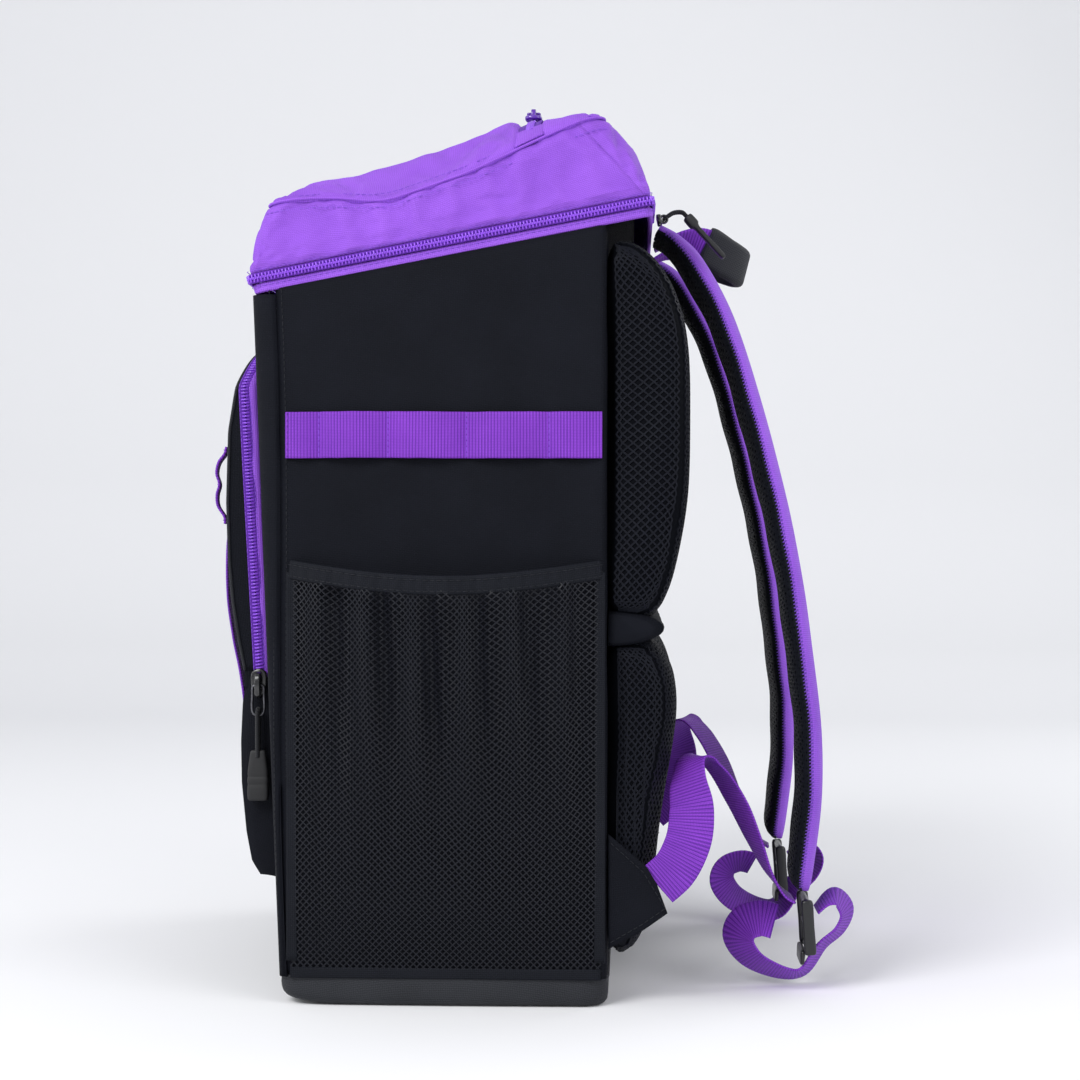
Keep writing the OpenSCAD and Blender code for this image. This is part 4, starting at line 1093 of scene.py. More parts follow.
# Lower part: its front bulges from the foot to the fold, and its sides and foot turn back
lower_z = np.concatenate([np.linspace(64.5, 66, 3), np.linspace(67, 171.6, 40)])[:, None]
s = np.concatenate([[-1.0], np.linspace(-0.992, 0.992, 60), [1.0]])[None]
front = pocket_front(lower_z, s)
front[:, [0, -1], 1] += 1.6
foot_turn = np.linspace(0, 1, 7)[:-1, None]
foot = front[:1].repeat(6, 0)
foot[..., 2] = 62.0 + 2.4 * np.sin(foot_turn * math.pi / 2)
foot[..., 1] = front[:1, :, 1] * foot_turn + (1 - foot_turn) * (front_y(62.0) - 0.2)
front = np.concatenate([foot, front])
back_share = np.linspace(0, 1, 7)[:-1]
wing_z = front[:, 0, 2]
right = np.stack([
    np.stack([np.full(len(wing_z), pocket_half + 0.5 * math.sin(math.pi * share)),
              front[:, -1, 1] * (1 - share) + (front_y(wing_z) - 0.2) * share, wing_z], -1)
    for share in (1 - back_share)], 1)[:, ::-1]
left = right[:, ::-1] * [-1, 1, 1]
lower_part = cloth("pocket_lower_cloth", np.concatenate([left, front[:, 1:-1], right], 1), 1.6,
                   away_from=(0, -60, 110))
finished(lower_part, body_cloth, "bag", ["pocket_lower_panel"])
seam_z = np.linspace(70, 168, 40)
for side, hand in hands:
    line = pocket_front(seam_z, np.full(40, side * 0.96)) + [0, 0.15, 0]
    stitches(f"pocket_corner_stitch_{hand}", line, (side * 0.2, -1.0, 0), seam_black, "bag")

# Fold: a strip of the same cloth inside the gap that the flap turns about, and a scrap of it
# on either side, up to the foot of the zip
fold_grid = pocket_front(np.linspace(168.5, 180, 12)[:, None], np.linspace(-0.985, 0.985, 60)[None])
fold_grid[..., 1] += 2.0
fold = cloth("pocket_fold_cloth", fold_grid, 1.0, away_from=(0, -60, 174))
finished(fold, body_cloth)
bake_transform(fold)
scrap_z, scrap_y = np.meshgrid(np.linspace(167, 177.8, 8), np.linspace(-112.8, -100.5, 8), indexing="ij")
for side, hand in hands:
    scrap_grid = np.stack([np.full((8, 8), side * (pocket_half - 0.6)), scrap_y, scrap_z], -1)
    scrap = cloth(f"pocket_fold_side_{hand}", scrap_grid, 1.0, away_from=(0, -106, 172))
    finished(scrap, body_cloth, "bag")

# Flap: the part that folds out, rounded over its top corners, its edge turned back to the zip
top_z = pocket_top - 1 - 6 * (1 - np.linspace(0, 1, 8)[1:]) ** 2
flap_z = np.concatenate([[177.2], np.linspace(178, 346, 56), top_z])[:, None]
front = pocket_front(np.minimum(flap_z, 352.0), np.linspace(-0.995, 0.995, 66)[None], 3)
rim = evenly(np.concatenate([front[:, -1], front[-1, ::-1], front[::-1, 0]]), 3.2)[0]
flap = cloth("pocket_flap_cloth", front, 1.6, away_from=(0, -60, 260))
finished(flap, body_cloth, "front_flap", ["pocket_front_panel"])
edge_out = arch_out(rim)
turned = np.linspace(0, 1, 8)[None, :, None]
far_edge = rim.copy()
far_edge[:, 1] = np.maximum(pocket_zip_y(rim[:, 2]) - 2.6, rim[:, 1] + 0.8)
swell = edge_out[:, None] * 0.8 * np.sin(math.pi * turned * 0.5)
flap_side = rim[:, None] * (1 - turned) + far_edge[:, None] * turned + swell
side_cloth = cloth("pocket_flap_side", flap_side, 1.2, away_from=(0, -60, 240))
finished(side_cloth, body_cloth, "front_flap")
pipe_line = rim + edge_out * 0.2
pipe_line[:, 1] -= 0.3
finished(swept("pocket_flap_piping", pipe_line, edge_out, round_12 * 0.95), boot_cloth,
         "front_flap")

# Two tabs of webbing on the pocket's front corners, standing off between three tacks
tab_x, tab_turn, tack_half = 101, 0.16, 10.5
for side, hand in hands:
    tab_line = catmull(np.c_[np.full(9, tab_x), [
        (-126.2, 258), (-126.6, 262), (-130.2, 268), (-130.8, 274), (-129.4, 280), (-131.0, 286),
        (-129.8, 292), (-126.4, 297), (-125.4, 301)]], 6) * [side, 1, 1]
    tab = webbing(f"webbing_tab_cloth_{hand}", tab_line, (1, tab_turn * side, 0), seed=60 + side)
    finished(tab, webbing_cloth, "front_flap", [f"webbing_tab_{hand}"])
    for k, height in enumerate((260.0, 280.0, 299.0)):
        y = np.interp(height, tab_line[:, 2], tab_line[:, 1]) - 0.95
        dy = tack_half * tab_turn * side
        line = np.array([(side * tab_x - tack_half, y - dy, height),
                         (side * tab_x + tack_half, y + dy, height)])
        stitches(f"tab_tack_{hand}_{k}", line, (0, -1, 0), purple_thread, "front_flap")

# Centre strap: webbing tacked to the flap and to the lower part, free in between
centre_line = catmull(np.c_[np.zeros(10), [
    (-134.2, 303), (-135.6, 298), (-138.4, 285), (-139.8, 267), (-143, 245), (-142.8, 215), (-139.4, 190),
    (-135.4, 170), (-132.6, 150), (-131.6, 130)]], 8)
centre = webbing("centre_webbing", centre_line, (1.0, 0, 0), seed=66)
finished(centre, webbing_cloth, nodes=["centre_strap"])
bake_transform(centre)
for k, height in enumerate((299.5, 301.5, 134.0, 132.0)):
    y = np.interp(height, centre_line[::-1, 2], centre_line[::-1, 1]) - 0.9
    stitches(f"centre_tack_{k}", np.array([(-tack_half, y, height), (tack_half, y, height)]), (0, -1, 0),
             purple_thread, "front_flap" if height > 200 else "bag")

# Slider, wire, cord and grip: black enamel, steel wire, braided cord, moulded rubber
slider_enamel = plastic("slider_enamel", (0.006, 0.006, 0.007), 0.22, coat=0.5)
steel_wire, n, shader = shader_of("steel_wire", 0.3, Metallic=1.0)
scuff = n.add("ShaderNodeTexNoise", {"Vector": n.add("ShaderNodeTexCoord").outputs["Object"], "Scale": 500.0})
n.tree.links.new(n.tint(scuff.outputs["Fac"], (0.04, 0.04, 0.045), (0.2, 0.2, 0.22)),
                 shader.inputs["Base Color"])
grip_rubber = plastic("grip_rubber", (0.006, 0.0062, 0.0075), 0.6)
braid, n, shader = shader_of("braided_cord", 0.6, Sheen_Weight=0.1, Specular_IOR_Level=0.25)
split = n.add("ShaderNodeSeparateXYZ", {0: n.add("ShaderNodeUVMap", uv_map="cloth").outputs[0]})
# Painted shade: the cord's colour follows its strands' height, darkest in the grooves between them.
strand = n.maths("SINE", n.maths("MULTIPLY_ADD", split.outputs[1], 5200.0,
                                 n.maths("MULTIPLY", split.outputs[0], 3000.0)))
strand = n.maths("MULTIPLY_ADD", strand, 0.5, 0.5)
n.tree.links.new(n.tint(strand, (0.002, 0.0023, 0.003), (0.012, 0.013, 0.017)), shader.inputs["Base Color"])
add_bump(n, shader, strand, 0.6, 0.0003)


def formed(name, rings, levels=2):
    """A closed form through a stack of rings of points, ends fanned in, rounded by
    subdivision."""
    piece = put_mesh(name, rings, tube_faces(*rings.shape[:2]))
    if inside_out(piece):
        piece.data.flip_normals()
    soft = piece.modifiers.new("soft", "SUBSURF")
    soft.levels = soft.render_levels = levels
    return piece


def rounded_box(wide, deep, edge, count=4):
    """A rectangle's outline with rounded corners, counter-clockwise."""
    turn = np.linspace(0, math.pi / 2, count)
    x, y = wide / 2 - edge, deep / 2 - edge
    corner = np.stack([np.cos(turn), np.sin(turn)], -1) * edge
    return np.concatenate([corner + [x, y], corner[:, ::-1] * [-1, 1] + [-x, y], -corner + [-x, -y],
                           corner[:, ::-1] * [1, -1] + [x, -y]])


def ringed(origin, far_way, wide_way, tall_way, sections):
    """Flat outlines set one behind another: pairs of a distance along the first way and an
    outline whose two columns run along the other two."""
    ways = np.array([far_way, wide_way, tall_way], float)
    return np.stack([origin + far * ways[0] + flat[:, :1] * ways[1] + flat[:, 1:] * ways[2]
                     for far, flat in sections])


x_way, y_way, z_way = np.eye(3)
slider_at = np.array([119.1, -103.8, 169.0])
eye = slider_at + [4.2, 0, 0]
# The slider's body: two cheeks joined by a bridge, wider at the shoulders than at the foot
plate = np.array([(8.6, -3.6), (10, 0), (8.6, 3.6), (6, 4.9), (-2, 4.3), (-5, 3.4), (-5.6, 0), (-5, -3.4),
                  (-2, -4.3), (6, -4.9)])
slider = formed("pocket_slider_body", ringed(slider_at, x_way, z_way, y_way, [
    (x, plate * grow) for x, grow in ((0.0, 0.82), (0.35, 0.97), (1.5, 1.0), (2.6, 0.97), (3.0, 0.8))]))
finished(slider, slider_enamel, "pocket_slider", ["pocket_slider"])
bridge_line = catmull(np.array([(-1.6, 0, 176.2), (1.0, 0, 175.4), (2.9, 0, 172.5), (2.9, 0, 166.5),
                                (1.0, 0, 163.6), (-1.6, 0, 162.9)]) + [eye[0], eye[1], 0], 8)
bridge = swept("pocket_slider_bridge", bridge_line, (0, 1.0, 0), flat_oval(3.4, 1.5, 3, 4))
finished(bridge, slider_enamel, "pocket_slider")
wire_line = catmull(np.array([
    (0, -103.8, 169.2), (0, -105.6, 169.2), (0.05, -106.9, 168), (0.2, -107.0, 164), (0.3, -107.2, 157.5),
    (0.3, -106.4, 154), (0.3, -103.8, 152.9), (0.3, -101.2, 154), (0.3, -100.4, 157.5), (0.2, -100.6, 164),
    (0.05, -100.7, 168), (0, -102.0, 169.2), (0, -103.8, 169.2)]) + [eye[0], 0, 0], 6)
wire = swept("pocket_wire", wire_line[:-1], (1.0, 0, 0), round_12 * 0.72, closed=True)
finished(wire, steel_wire, "pocket_puller", ["pocket_wire_loop"])
pull_x = eye[0] + 0.3
cord_half = np.array([(1.6, 0, 130), (1.7, 0, 134.2), (2.2, 0, 142), (2.4, 0, 152.5), (1.8, 0, 155.2),
                      (0, 0, 156.3)])
cord_line = catmull(np.concatenate([cord_half, cord_half[-2::-1] * [-1, 1, 1]]) + [pull_x, slider_at[1], 0],
                    6)
pull_cord = swept("pocket_cord", cord_line, (0, 1.0, 0), round_12 * 1.28)
finished(pull_cord, braid, "pocket_puller", ["pocket_pull_cord"])
grip_sizes = ((106, 9.6, 3.0), (106.6, 11.2, 4.0), (109, 12, 4.7), (114, 12, 4.8), (114.6, 11.3, 4.1),
              (115.4, 11.3, 4.1), (116, 12, 4.8), (118.4, 12, 4.8), (119, 11.2, 4.1), (119.8, 11.2, 4.1),
              (120.4, 11.8, 4.7), (123, 11.4, 4.6), (127, 10.2, 4.4), (131, 9.2, 4.1), (133.2, 8.6, 3.8),
              (134, 7.2, 3.0))
grip = formed("pocket_grip", ringed((pull_x, slider_at[1], 0), z_way, x_way, y_way, [
    (z, rounded_box(deep, wide, deep * 0.34, 3)) for z, wide, deep in grip_sizes]), 1)
finished(grip, grip_rubber, "pocket_puller", ["pocket_pull_grip"])

# ---- Lid --------------------------------------------------------------------------------------
# A purple hood: one wall of cloth all round, and a crowned top in two parts with a pocket zip
# between them. The cloth is set loose between its seams, so that it wrinkles, and the seams are
# piped and stitched. A binding folded over the rear edge hinges it.
lid_y = np.array([-95, -85, -60, -32, 15, 45, 78, 86.0])
lid_edge = np.array([427, 430, 431, 428, 444, 458, 473, 473.0])
lid_crown = np.array([0, 9, 13, 24, 24, 23, 9, 1.0])
lid_corner = 14.0
lid_front, lid_rear = lid_y[0], lid_y[-1]
pocket_zip_at = (box_mm("lid_pocket_zip")[0][1] + box_mm("lid_pocket_zip")[1][1]) / 2


def soft_line(y, heights):
    """The heights at their places along Y, with each bend rounded: the mean of five looks-up
    spread over 16 mm."""
    return sum(np.interp(y + off, lid_y, heights) for off in (-8, -4, 0, 4, 8)) / 5


def lid_height(x, y):
    """The lid's top: its side edge, plus a crown (1 - (x / 150)^6) across the bag."""
    return soft_line(y, lid_edge) + soft_line(y, lid_crown) * (1 - np.abs(x / half_width) ** 6)


def in_zip_plane(x, along, off):
    """A place given in the lid zip's own plane, in the bag's frame."""
    x, along, off = np.broadcast_arrays(x, along, off)
    return zip_start + x[..., None] * x_way + along[..., None] * slope + off[..., None] * off_slope


def round_rectangle(x, y0, y1, corner, sides=(34, 7, 52, 7)):
    """A rectangle's round-cornered outline from the rear right, by the right side, the front
    and the left side to the rear, with set numbers of points on each stretch."""
    along, bend, across, _ = sides
    turn = np.linspace(0, math.pi / 2, bend)
    t = np.linspace(0, 1, along)[:, None]
    s = np.linspace(0, 1, across)[:, None]
    c = corner
    right = np.array([[x, y1 - c]]) * (1 - t) + np.array([[x, y0 + c]]) * t
    front_right = np.stack([x - c + c * np.cos(turn), y0 + c - c * np.sin(turn)], -1)
    front = np.array([[x - c, y0]]) * (1 - s) + np.array([[-x + c, y0]]) * s
    rear_right = np.stack([x - c + c * np.sin(turn), y1 - c + c * np.cos(turn)], -1)
    rear = np.array([[-x + c, y1]]) * (1 - s) + np.array([[x - c, y1]]) * s
    return np.concatenate([right[:-1], front_right[:-1], front[:-1], front_right[::-1][:-1] * [-1, 1],
                           right[::-1][:-1] * [-1, 1], rear_right[::-1][:-1] * [-1, 1], rear[:-1],
                           rear_right[:-1]])


def loosened(grid, held, slack, pressure, frames=20, cap_mm=4.0):
    """Cloth cut a little too large for its seams: the held points stay, the rest grows by the
    slack and buckles into wrinkles in a short cloth simulation with no gravity."""
    rows, cols = grid.shape[:2]
    piece = put_mesh("loose_cloth", grid, [grid_faces(rows, cols)])
    pins = piece.vertex_groups.new(name="held")
    pins.add(np.flatnonzero(held.ravel()).tolist(), 1.0, "REPLACE")
    cloth_fold = piece.modifiers.new("loose", "CLOTH")
    s = cloth_fold.settings
    s.vertex_group_mass, s.quality, s.shrink_min = "held", 6, -slack
    s.tension_stiffness = s.compression_stiffness = s.shear_stiffness = 25
    s.bending_stiffness, s.effector_weights.gravity = 1.2, 0
    s.use_pressure, s.uniform_pressure_force = True, pressure
    cloth_fold.collision_settings.use_collision = False
    after = settled(piece, frames)
    bpy.data.objects.remove(piece)
    bpy.context.scene.frame_set(1)
    return grid + capped(after.reshape(rows, cols, 3).astype(float) * 1000 - grid, cap_mm)


def finer(grid, times):
    """A grid with more rows and columns, on smooth lines through its points."""
    rows = catmull(grid.reshape(len(grid), -1), times).reshape(-1, *grid.shape[1:])
    turned = np.swapaxes(rows, 0, 1)
    return np.swapaxes(catmull(turned.reshape(len(turned), -1), times).reshape(-1, *turned.shape[1:]), 0, 1)


# Wall: from the zip's upper tape to the top's edge. Its foot follows the zip's plane, and its
# back leans in to the top as a hood's does.
foot_flat = round_rectangle(half_width + 0.6, -0.7, 218.4, 3.0)
foot_ring = in_zip_plane(foot_flat[:, 0], foot_flat[:, 1], 2.75)
top_flat = round_rectangle(half_width - 0.8, lid_front, lid_rear, lid_corner)
top_ring = np.concatenate([top_flat, lid_height(top_flat[:, 0], top_flat[:, 1])[:, None] + 0.6], 1)
wall_v = np.linspace(0, 1, 17)[:, None, None]
wall_out = np.concatenate([(foot_ring + top_ring)[:, :2] / 2 - [0, 2], np.zeros((len(foot_ring), 1))], 1)
wall_out[:, 0] = np.sign(wall_out[:, 0]) * np.clip(np.abs(wall_out[:, 0]) - 132, 0, 20)
wall_out[:, 1] = np.sign(wall_out[:, 1]) * np.clip(np.abs(wall_out[:, 1]) - 84, 0, 20)
wall_out = unit(wall_out)
wall = foot_ring[None] * (1 - wall_v) + top_ring[None] * wall_v
bulge = np.sin(math.pi * wall_v**0.8) * (1.2 + 3.2 * np.clip(wall_out[None, :, 1:2], 0, 1))
rumple = 0.7 * ripple(wall[..., 1] + wall[..., 0], wall[..., 2] * 1.3, 71, 5, 80)[..., None]
wall = wall + wall_out[None] * (bulge + rumple * np.sin(math.pi * wall_v))
wall = np.concatenate([wall, wall[:, :1]], 1)
held = np.zeros(wall.shape[:2], bool)
held[[0, 1, -1]] = True
held[:, [0, -1]] = True
wall = loosened(wall, held, 0.035, 0.4)
fine_wall = finer(wall, 2)
tuck = np.linspace(0, 1, len(fine_wall))[:, None, None]
around = np.linspace(0, len(wall_out), fine_wall.shape[1])
fine_out = np.stack([np.interp(around, np.arange(len(wall_out) + 1), np.append(c, c[0])) for c in wall_out.T],
                    -1)
dip = 1.3 * np.exp(-(tuck * 40 / 1.6) ** 2) + 1.4 * np.exp(-((1 - tuck) * 40 / 1.6) ** 2)
fine_wall = fine_wall - fine_out[None] * dip
lid_wall = cloth("lid_wall", fine_wall, 1.5, away_from=(0, 0, 430))
finished(lid_wall, purple_cloth, "lid", ["lid_skirt"])

# Top: its front part reaches from the front edge to the pocket zip, its rear part from there
# to the rear edge. Both narrow into the round corners.


def lid_width(y):
    """Half of the top's width at a place along Y."""
    d = np.minimum(np.clip(y - lid_front, 0, lid_corner), np.clip(lid_rear - y, 0, lid_corner))
    return half_width - 0.8 - lid_corner + np.sqrt(np.maximum(0, lid_corner**2 - (lid_corner - d) ** 2))


def top_part(name, y0, y1, rows, cols, nodes, seed):
    """One part of the lid's top, loosened between its seams and dipped into each of them."""
    t = np.linspace(0, 1, rows)[:, None]
    reach = y0 + (y1 - y0) * (t + 0.5 * (3 * t**2 - 2 * t**3 - t) * 0.3)
    s = np.linspace(-1, 1, cols)[None]
    y = np.broadcast_to(reach, (rows, cols))
    x = s * lid_width(y)
    inside = ease((1 - np.abs(s)) * 9) * ease((y - y0) / 9) * ease((y1 - y) / 9)
    z = lid_height(x, y) + 1.6 + inside * (1.0 + 1.1 * ripple(x, y * 1.4, seed, 5, 110))
    grid = np.stack([x, y, z], -1)
    held = np.zeros((rows, cols), bool)
    held[[0, -1]] = held[:, [0, -1]] = True
    grid = loosened(grid, held, 0.03, 0.3)
    fine = finer(grid, 2)
    edge = np.minimum((1 - np.abs(np.linspace(-1, 1, fine.shape[1])))[None] * 150,
                      np.minimum(fine[..., 1] - y0, y1 - fine[..., 1]))
    fine[..., 2] -= 1.5 * np.exp(-(np.maximum(edge, 0) / 1.8) ** 2)
    return finished(cloth(name, fine, 1.5, away_from=(0, 0, 400)), purple_cloth, "lid",
                    nodes)


top_part("lid_top_front_cloth", lid_front, pocket_zip_at - 5.0, 38, 76, ["lid_top_front"], 73)
top_part("lid_top_rear_cloth", pocket_zip_at + 5.0, lid_rear, 11, 76, ["lid_top_rear"], 76)

# Edge seam: a covered cord between wall and top, with a row of thread beside it
edge_flat = round_rectangle(half_width - 0.6, lid_front - 0.2, lid_rear + 0.2, lid_corner)
edge_ring = np.concatenate([edge_flat, lid_height(edge_flat[:, 0], edge_flat[:, 1])[:, None] + 1.0], 1)
edge_line, _ = evenly(edge_ring, 2.2, closed=True)
edge_piping = swept("lid_edge_piping", edge_line, (0.02, 0.02, 1.02), round_12 * 0.8, closed=True)
finished(edge_piping, purple_cloth, "lid")
row_flat = round_rectangle(half_width - 4.6, lid_front + 3.8, lid_rear - 3.8, lid_corner - 4)
row_ring = np.concatenate([row_flat, lid_height(row_flat[:, 0], row_flat[:, 1])[:, None] + 1.9], 1)
row_at, row_along = evenly(row_ring, 3.4, closed=True)
finished(strewn("lid_top_stitch", bead(2.5, 0.5, 0.5), row_at, row_along, (0, 0, 1.0)),
         purple_thread, "lid")
under_ring = foot_ring * 0.14 + top_ring * 0.86
row_at, row_along = evenly(under_ring + wall_out * 1.2, 3.4, closed=True)
row_out = outwards(row_along, z_way, row_at)
finished(strewn("lid_wall_stitch", bead(2.5, 0.5, 0.5), row_at + row_out * 0.2, row_along, row_out),
         purple_thread, "lid")

# Blank patch: a soft moulded plate with a raised rim, sewn to the top
patch_y, patch_x = np.meshgrid(np.linspace(-68, -36, 24), np.linspace(-32, 32, 40), indexing="ij")
patch_near = np.minimum(np.minimum(patch_y + 68, -36 - patch_y), np.minimum(patch_x + 32, 32 - patch_x))
patch_rise = 3.6 + 0.9 * ease(patch_near / 1.2) - 0.45 * ease((patch_near - 2.2) / 1.0)
patch_grid = np.stack([patch_x, patch_y, lid_height(patch_x, patch_y) + patch_rise], -1)
patch_rubber = plastic("patch_rubber", (0.13, 0.03, 0.42), 0.5)
patch = cloth("lid_patch_plate", patch_grid, 1.3, away_from=(0, 0, 400))
finished(patch, patch_rubber, "lid", ["lid_patch"])

# Pocket zip across the lid: two tapes, the coil, its slider and a flat pull
zip_x = np.linspace(-138.0, 138, 120)
zip_up = (0, 1.0, 0.42)
for k, off in enumerate((-3.2, 3.2)):
    line_y = pocket_zip_at + off
    line = np.stack([zip_x, np.full(120, line_y), lid_height(zip_x, line_y) + 1.7], -1)
    tape = swept(f"lid_pocket_tape_{k}", line, zip_up, flat_oval(6.2, 1.0))
    finished(tape, zip_cloth, "lid", ["lid_pocket_zip"] if k == 0 else [])
    at, along = evenly(np.stack([zip_x, np.full(120, pocket_zip_at + (k - 0.5) * 1.5),
                                 lid_height(zip_x, pocket_zip_at + (k - 0.5) * 1.5) + 2.5], -1), coil_pitch)
    at = at + along * coil_pitch / 2 * k
    row = strewn(f"lid_pocket_coil_{k}", coil_loop, at, np.array(zip_up) * (1 - 2 * k), (0, -0.4, 1.0))
    finished(row, coil_plastic, "lid")
for side, hand in hands:
    end_y, end_x = np.meshgrid(pocket_zip_at + np.linspace(-8, 8, 13), np.linspace(135, 149.0, 12),
                               indexing="ij")
    near = np.minimum(end_x - 135, 8 - np.abs(end_y - pocket_zip_at))
    end_z = lid_height(end_x, end_y) + 2.6 + 0.5 * ease(near / 1.2)
    end = cloth(f"lid_pocket_zip_end_{hand}", np.stack([side * end_x, end_y, end_z], -1), 1.6,
                away_from=(0, 0, 400))
    finished(end, purple_cloth, "lid")
top_slider = np.array([92.0, 46.0, box_mm("lid_pocket_slider")[0][2]])
purple_enamel = plastic("purple_enamel", (0.10, 0.018, 0.34), 0.22, coat=0.7)
plate = np.array([(-7, -2.4), (-6, -4.4), (0, -4.9), (4, -4.9), (6, -3), (6.4, 0), (6, 3), (4, 4.9), (0, 4.9),
                  (-6, 4.4), (-7, 2.4), (-7.2, 0)])
rings = ringed(top_slider, z_way, x_way, y_way, [
    (z, plate * grow) for z, grow in ((0.0, 0.85), (0.3, 1.0), (1.6, 1.0), (2.4, 0.9), (2.7, 0.7))])
finished(formed("lid_pocket_slider_body", rings), purple_enamel, "lid_pocket_slider",
         ["lid_pocket_slider"])
bridge_line = catmull(top_slider + np.array([(-3.0, 0, 1.8), (-2.9, 0, 4.2), (-1.5, 0, 5.8), (1.5, 0, 5.8),
                                             (2.9, 0, 4.2), (3.0, 0, 1.8)]), 6)
bridge = swept("lid_pocket_slider_bridge", bridge_line, (0, 1.0, 0), flat_oval(2.6, 1.1, 3, 4))
finished(bridge, purple_enamel, "lid_pocket_slider")
pin = top_slider + [0, 0, 4.0]
ring_line = catmull(pin + np.array([(0.0, -3.1, 0), (-3, -3.3, 0), (-9, -3.3, 0), (-11, -2.4, 0),
                                    (-11, 2.4, 0), (-9, 3.3, 0), (-3, 3.3, 0), (0, 3.1, 0), (0, 1.5, 0),
                                    (0, -1.5, 0), (0, -3.1, 0)]), 5)
finished(swept("lid_pocket_pull_ring", ring_line[:-1], (0, 0, 1.0), round_12 * 0.7, closed=True),
         purple_enamel, "lid_pocket_pull", ["lid_pocket_pull"])
tab_sizes = ((-9.6, 5.0, 1.0), (-10.2, 7.0, 1.5), (-12, 8.2, 1.7), (-20, 8.2, 1.7), (-24.6, 7.4, 1.6),
             (-25.8, 5.2, 1.1))
rings = ringed(pin, x_way, y_way, z_way, [
    (x, rounded_box(wide, tall, tall * 0.4, 3)) for x, wide, tall in tab_sizes])
finished(formed("lid_pocket_pull_tab", rings, 1), purple_enamel, "lid_pocket_pull")

# Lining: the pocket's black floor, slung between the wall's seams
line_x, line_y = np.meshgrid(np.linspace(-half_width + 3.6, half_width - 3.6, 50),
                             np.linspace(5.2, 209.8, 40), indexing="xy")
sag = 0.5 * ripple(line_x, line_y, 81, 4, 90)
lining = cloth("lid_lining_cloth", in_zip_plane(line_x, line_y, 4.4 + sag * 0.6), 1.0, away_from=(0, 0, 100))
finished(lining, body_cloth, "lid", ["lid_lining"])

# Hinge binding: a folded strip over both edges
hinge_at = 217.6
bind_line = in_zip_plane(np.linspace(-83.2, 83.2, 70), hinge_at, 0.0)
binding = swept("hinge_binding_cloth", bind_line, off_slope, flat_oval(6.6, 2.6, 4, 10))
finished(binding, purple_cloth, nodes=["lid_hinge_binding"])
tuple(in_zip_plane(0, hinge_at, -2.4) / 1000)
tuple(in_zip_plane(0, hinge_at, 2.4) / 1000)
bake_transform(binding)

# Slider and puller of the lid zip, round the rear right corner
slider_x, slider_off = 110.0, -5.0
slider_at = in_zip_plane(slider_x, 220.6, slider_off)
plate = np.array([(-6.5, -1.8), (-5.4, -3), (0, -3.2), (5, -2.9), (6.5, -1.6), (6.7, 0), (6.5, 1.6), (5, 2.9),
                  (0, 3.2), (-5.4, 3), (-6.5, 1.8), (-6.7, 0)])
rings = ringed(slider_at, slope, x_way, off_slope, [
    (off, plate * grow) for off, grow in ((-0.1, 0.85), (0.3, 1.0), (1.6, 1.0), (2.4, 0.95), (2.7, 0.8))])
finished(formed("lid_slider_body", rings), slider_enamel, "lid_slider", ["lid_slider"])
lug_turn = np.linspace(0, math.tau, 21)[:-1]
lug_line = in_zip_plane(slider_x, 224.5 + 1.95 * np.cos(lug_turn), slider_off + 1.95 * np.sin(lug_turn))
lug = swept("lid_slider_lug", lug_line, (1.0, 0, 0), flat_oval(3.0, 1.3, 3, 3), closed=True)
finished(lug, slider_enamel, "lid_slider")
lid_cord = catmull([(112.6, 131.4, 426.4), (112.6, 130.55, 427.5), (112.7, 128.4, 429.2), (112.9, 124, 429),
                    (112.9, 120.4, 426.9), (111.8, 118.55, 425.55), (110, 118.48, 425.5),
                    (108.2, 118.55, 425.55), (107.1, 120.4, 426.9), (107.1, 124, 429), (107.3, 128.4, 429.2),
                    (107.4, 130.55, 427.5), (107.4, 131.4, 426.4)], 6)
lid_pull = swept("lid_cord", lid_cord, (0, 0.5, -0.87), round_12 * 0.88)
finished(lid_pull, braid, "lid_puller", ["lid_pull_cord"])
grip_turn = math.radians(-48)
grip_along = np.array([0, math.cos(grip_turn), math.sin(grip_turn)])
grip_up = np.array([0, -math.sin(grip_turn), math.cos(grip_turn)])
grip_sizes = ((0.1, 8.6, 4.8), (0.8, 9.8, 5.8), (6.0, 10, 6), (6.9, 9.6, 5.4), (7.4, 8.8, 3.6), (9, 8.4, 3.0),
              (9.6, 8, 2.5), (10.2, 8.4, 3.0), (14, 8.8, 3.0), (14.6, 8.3, 2.5), (15.2, 8.8, 3.0),
              (19, 8.8, 3.0), (19.6, 8.3, 2.5), (20.2, 8.8, 3.0), (28, 8.8, 3.0), (30.2, 8, 2.8),
              (31, 6.4, 2.0))
rings = ringed((slider_x, 131, 427), grip_along, x_way, grip_up, [
    (far, rounded_box(wide, tall, tall * 0.38, 3)) for far, wide, tall in grip_sizes])
finished(formed("lid_grip", rings, 1), grip_rubber, "lid_puller", ["lid_pull_grip"])

# ---- Shoulder straps --------------------------------------------------------------------------
# Each strap is foam between a smooth purple outer cover and a black spacer-mesh lining. The two
# meet half way round its edge, in an overlocked seam. It is sewn in at the top of the back and
# ends in a rounded tip that carries the buckle.
strap_points = np.array([
    (70, 117.5, 426), (70, 129, 419.5), (71, 141.7, 406), (75, 158.7, 372.7), (81, 172.9, 327.4),
    (88, 187, 270.7), (92, 195.6, 225.3), (95, 200, 191), (97, 205, 146), (98, 205, 106), (98, 201, 70),
    (98, 198.6, 56)], float)
strap_thick = 13.0
strap_line, _ = evenly(catmull(strap_points, 10), 2.6)
strap_t = np.linspace(0, 1, len(strap_line))
strap_half = 34 * (0.9 + 0.1 * np.sin(math.pi * np.minimum(1, 1.3 * strap_t)) - 1.9
                   * np.maximum(0, strap_t - 0.86))
tip = np.sqrt(np.clip(1 - (np.clip(strap_t - 0.965, 0, 1) / 0.0352) ** 2, 0, 1))
